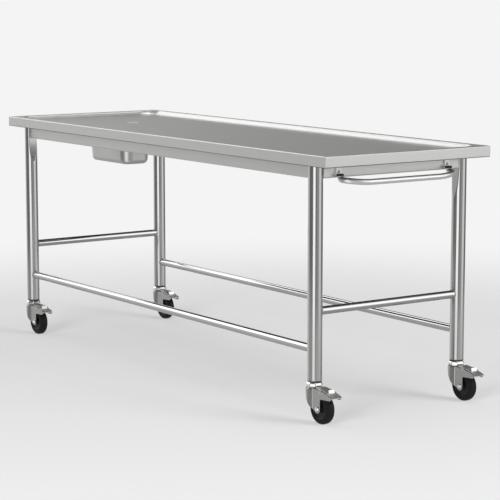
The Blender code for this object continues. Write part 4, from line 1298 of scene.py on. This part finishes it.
class TABLE_OT_castors(bpy.types.Operator):
    """Make the braked swivel castors: forks, pedals, nuts, axles, hubs and tyres"""

    bl_idname = "autopsy_table.castors"
    bl_label = "Castors"

    def execute(self, context):
        sizes = context.scene.table_castors
        rim_inset = 0.00125
        for corner in CORNERS:
            low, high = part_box(f"castor_tyre_{corner}")
            place = middle(f"castor_tyre_{corner}")
            radius, width = (high.z - low.z) / 2, high.y - low.y
            low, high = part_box(f"castor_hub_{corner}")
            boss_half = (high.y - low.y) / 2
            low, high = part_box(f"castor_axle_{corner}")
            tip, head = (high.y - low.y) / 2, (high.z - low.z) / 2
            hub = hub_profile(radius - sizes.tyre, width / 2 - rim_inset, sizes.web / 2, boss_half)
            meshes = {
                "tyre": turned_on_axle(tyre_profile(radius, width, sizes), place, sides=96),
                "hub": turned_on_axle(hub, place, sides=72),
                "axle": turned_on_axle(axle_profile(tip, head), place, sides=48, looped=False),
                "nut": nut_mesh(f"castor_nut_{corner}", sizes),
                "fork": fork_mesh(f"castor_fork_{corner}", sizes),
                "pedal": pedal_mesh(f"castor_pedal_{corner}", sizes),
            }
            wheel, fork, pedal = (f"{body}_{corner}" for body in ("wheel", "fork", "pedal"))
            pieces = (
                ("tyre", "tyre", "tyre_rubber", wheel, "wheel_tyre"),
                ("wheel_centre", "hub", "hub_plastic", wheel, "wheel_plastic"),
                ("axle", "axle", "plated_steel", fork, "plated_steel"),
                ("nut", "nut", "plated_steel", TABLE, "plated_steel"),
                ("pressed_fork", "fork", "fork_steel", fork, "pressed_steel"),
                ("brake_pedal", "pedal", "pedal_steel", pedal, "pressed_steel"),
            )
            for name, node, look, body, slot in pieces:
                solid = f"castor_{node}_{corner}"
                finished(f"{name}_{corner}", meshes[node], finish(look), body, slot, solid)
            dress(f"castor_stem_{corner}", finish("plated_steel"))
            dress(f"castor_expander_{corner}", finish("seal_rubber"))
        return {"FINISHED"}


def panel_group():
    """A soft light panel of the studio as a share of brightness over directions."""
    values = ("Half Width", "Low", "High", "Side Softness", "Edge Softness", "Strength")
    inputs = {"Direction": "vector", "Facing": "vector"} | dict.fromkeys(values, "value")
    tree, bench, given, result = new_tree("Light panel", "ShaderNodeTree", inputs, {"Light": "value"})
    direction, facing = given.outputs["Direction"], given.outputs["Facing"]
    half, low, high, side_soft, edge_soft, strength = (given.outputs[name] for name in values)
    parts = bench.add("ShaderNodeSeparateXYZ", {0: direction}).outputs
    level = bench.add("ShaderNodeCombineXYZ", {"X": parts["X"], "Y": parts["Y"]}).outputs[0]
    around = bench.add("ShaderNodeVectorMath", {0: level}, operation="NORMALIZE").outputs[0]
    dot = bench.add("ShaderNodeVectorMath", {0: around, 1: facing}, operation="DOT_PRODUCT")
    side = bench.math("ARCCOSINE", dot.outputs["Value"])
    across = bench.span(side, bench.math("ADD", half, side_soft), half, 0.0, 1.0, smooth=True)
    up = bench.math("ARCSINE", parts["Z"])
    above_low = bench.span(up, bench.math("SUBTRACT", low, edge_soft), low, 0.0, 1.0, smooth=True)
    below_high = bench.span(up, bench.math("ADD", high, edge_soft), high, 0.0, 1.0, smooth=True)
    mask = bench.math("MULTIPLY", across, bench.math("MULTIPLY", above_low, below_high))
    bench.feed(result.inputs["Light"], bench.math("MULTIPLY", mask, strength))
    return tree


# Light panels: turn from the camera's side to its right, half width, low and high edge, the
# softness of the sides and of the edges, all in degrees, and the strength. Two wide soft boxes stand
# at the sides, the left one narrower at its lower end, with one strip beside the camera and one cloth
# overhead; the low ones are their spill on the ground around the floor. The last two are the pale
# backdrop as the metal sees it and a black flag.
PANELS = (
    (76, 17, 8, 38, 12, 8, 1.75),
    (-121, 12, 18, 21, 12, 13, 2.2),
    (-138, 25, 34, 40, 9, 13, 2.2),
    (0, 181, 72, 91, 1, 9, 2.6),
    (-19, 12, -60, 30, 10, 8, 1.60),
    (74, 10, -8, 5, 20, 8, 0.92),
    (-129, 18, -12, 6, 22, 9, 0.50),
    (-131, 16, -60, -14, 24, 9, 0.25),
    (34, 10, -60, 8, 14, 8, 0.22),
    (-150, 20, -2, 6, 18, 9, 0.30),
    (-170, 40, 0, 12, 30, 8, 0.17),
    (180, 22, -18, 1, 20, 8, 0.55),
    (165, 14, 10, 60, 10, 8, -0.19),
)


def camera_side(studio):
    """The direction from the table to the camera, as an angle about Z from +X."""
    return math.radians(270) + studio.heading


def build_world(studio):
    """Soft studio light from panels; the camera itself sees one pale backdrop."""
    world = bpy.data.worlds.new("Studio")
    world.use_nodes = True
    bench = NodeBench(world.node_tree)
    background = world.node_tree.nodes["Background"]
    direction = bench.add("ShaderNodeTexCoord").outputs["Generated"]
    group = panel_group()
    total = studio.surround
    for turn, half, low, high, side_soft, edge_soft, strength in PANELS:
        facing = camera_side(studio) + math.radians(turn)
        values = {
            "Direction": direction,
            "Facing": (math.cos(facing), math.sin(facing), 0.0),
            "Half Width": math.radians(half),
            "Low": math.radians(low),
            "High": math.radians(high),
            "Side Softness": math.radians(side_soft),
            "Edge Softness": math.radians(edge_soft),
            "Strength": strength,
        }
        panel = bench.add("ShaderNodeGroup", values, node_tree=group)
        total = bench.math("ADD", panel.outputs["Light"], total)
    rays = bench.add("ShaderNodeLightPath").outputs
    seen = bench.math("MAXIMUM", rays["Is Camera Ray"], rays["Is Transmission Ray"])
    bench.feed(background.inputs["Color"], bench.mix(seen, total, (*studio.backdrop, 1.0)))
    background.inputs["Strength"].default_value = 1.0
    bpy.context.scene.world = world


def floor_material(studio):
    """A pale floor that keeps the table's shadow and runs into the backdrop."""
    made = bpy.data.materials.new("studio_floor")
    made.use_nodes = True
    tree = made.node_tree
    tree.nodes.clear()
    bench = NodeBench(tree)
    where = bench.add("ShaderNodeTexCoord").outputs["Object"]
    reach = bench.add("ShaderNodeVectorMath", {0: where}, operation="LENGTH").outputs["Value"]
    rays = bench.add("ShaderNodeLightPath").outputs
    seen = bench.math("MAXIMUM", rays["Is Camera Ray"], rays["Is Glossy Ray"])
    seen = bench.math("MAXIMUM", seen, rays["Is Transmission Ray"])
    tone = (*studio.floor, 1.0)
    shaded = bench.add("ShaderNodeBsdfDiffuse", {"Color": tone})
    plain = bench.add("ShaderNodeEmission", {"Color": tone, "Strength": 1.0})
    even = bench.math("MULTIPLY", seen, studio.floor_plain)
    lit = bench.add("ShaderNodeMixShader", {0: even, 1: shaded.outputs[0], 2: plain.outputs[0]})
    clear = bench.add("ShaderNodeBsdfTransparent")
    gone = bench.span(reach, studio.floor_fade, studio.floor_end, 0.0, 1.0, smooth=True)
    sheen = bench.math("MULTIPLY", rays["Is Glossy Ray"], studio.floor_sheen)
    gone = bench.math("MAXIMUM", gone, sheen)
    faded = bench.add("ShaderNodeMixShader", {0: gone, 1: lit.outputs[0], 2: clear.outputs[0]})
    bench.add("ShaderNodeOutputMaterial", {"Surface": faded.outputs[0]})
    return made


def floor_lamps(studio, floor):
    """Two soft lamps beside the camera that light the floor and put the table's shadow on it."""
    lit = bpy.data.collections.new("lit_by_floor_lamps")
    lit.objects.link(floor)
    level = studio.lamp_reach * math.cos(studio.lamp_rise)
    height = studio.lamp_reach * math.sin(studio.lamp_rise)
    for lamp_turn in (studio.left_turn, studio.right_turn):
        data = bpy.data.lights.new("floor_lamp", "AREA")
        data.shape = "SQUARE"
        data.size = studio.lamp_size
        data.energy = studio.lamp_power
        lamp = bpy.data.objects.new("floor_lamp", data)
        turn = camera_side(studio) + lamp_turn
        lamp.location = (level * math.cos(turn), level * math.sin(turn), height)
        lamp.rotation_euler = (-lamp.location).to_track_quat("-Z", "Y").to_euler()
        lamp.light_linking.receiver_collection = lit
        bpy.context.scene.collection.objects.link(lamp)


def floor_disc(studio):
    """A round floor that reaches just past where it has run into the backdrop."""
    sides, past_end = 96, 0.1
    reach = studio.floor_end + past_end
    turns = [2 * math.pi * side / sides for side in range(sides)]
    shape = bmesh.new()
    rim = [shape.verts.new((reach * math.cos(turn), reach * math.sin(turn), 0)) for turn in turns]
    shape.faces.new(rim)
    mesh = bpy.data.meshes.new("floor")
    shape.to_mesh(mesh)
    shape.free()
    mesh.materials.append(floor_material(studio))
    return mesh


class TABLE_OT_stage(bpy.types.Operator):
    """Set up the pale floor, the soft studio light and the camera"""

    bl_idname = "autopsy_table.stage"
    bl_label = "Studio"

    def execute(self, context):
        studio = context.scene.table_studio
        sensor_width, far_clip = 36.0, 100.0
        build_world(studio)
        floor = bpy.data.objects.new("floor", floor_disc(studio))
        context.scene.collection.objects.link(floor)
        floor_lamps(studio, floor)
        data = bpy.data.cameras.new("camera")
        data.sensor_width = sensor_width
        data.lens = studio.lens
        data.clip_end = far_clip
        camera = bpy.data.objects.new("camera", data)
        camera.location = studio.place
        camera.rotation_euler = (studio.tilt, 0.0, studio.heading)
        context.scene.collection.objects.link(camera)
        context.scene.camera = camera
        context.scene.view_settings.view_transform = "Standard"
        return {"FINISHED"}


MAKERS = (
    TABLE_OT_tray,
    TABLE_OT_tubes,
    TABLE_OT_aprons,
    TABLE_OT_welds,
    TABLE_OT_drain,
    TABLE_OT_basin,
    TABLE_OT_handle,
    TABLE_OT_castors,
    TABLE_OT_stage,
)


class TABLE_PT_looks(bpy.types.Panel):
    """Lists the table's groups of pieces and the sizes and colours behind them"""

    bl_label = "Autopsy Table"
    bl_idname = "TABLE_PT_looks"
    bl_space_type = "VIEW_3D"
    bl_region_type = "UI"
    bl_category = "Table"

    def draw(self, context):
        for maker in MAKERS:
            self.layout.operator(maker.bl_idname)
        for name, group in GROUPS.items():
            box = self.layout.box()
            for key in group.__annotations__:
                box.prop(getattr(context.scene, name), key)


def register():
    for made in (*GROUPS.values(), *MAKERS, TABLE_PT_looks):
        bpy.utils.register_class(made)
    for name, group in GROUPS.items():
        setattr(bpy.types.Scene, name, PointerProperty(type=group))


def unregister():
    for name in GROUPS:
        delattr(bpy.types.Scene, name)
    for made in (TABLE_PT_looks, *reversed(MAKERS), *reversed(GROUPS.values())):
        bpy.utils.unregister_class(made)


def main():
    register()
    for maker in MAKERS:
        group, name = maker.bl_idname.split(".")
        getattr(getattr(bpy.ops, group), name)()


if __name__ == "__main__":
    main()
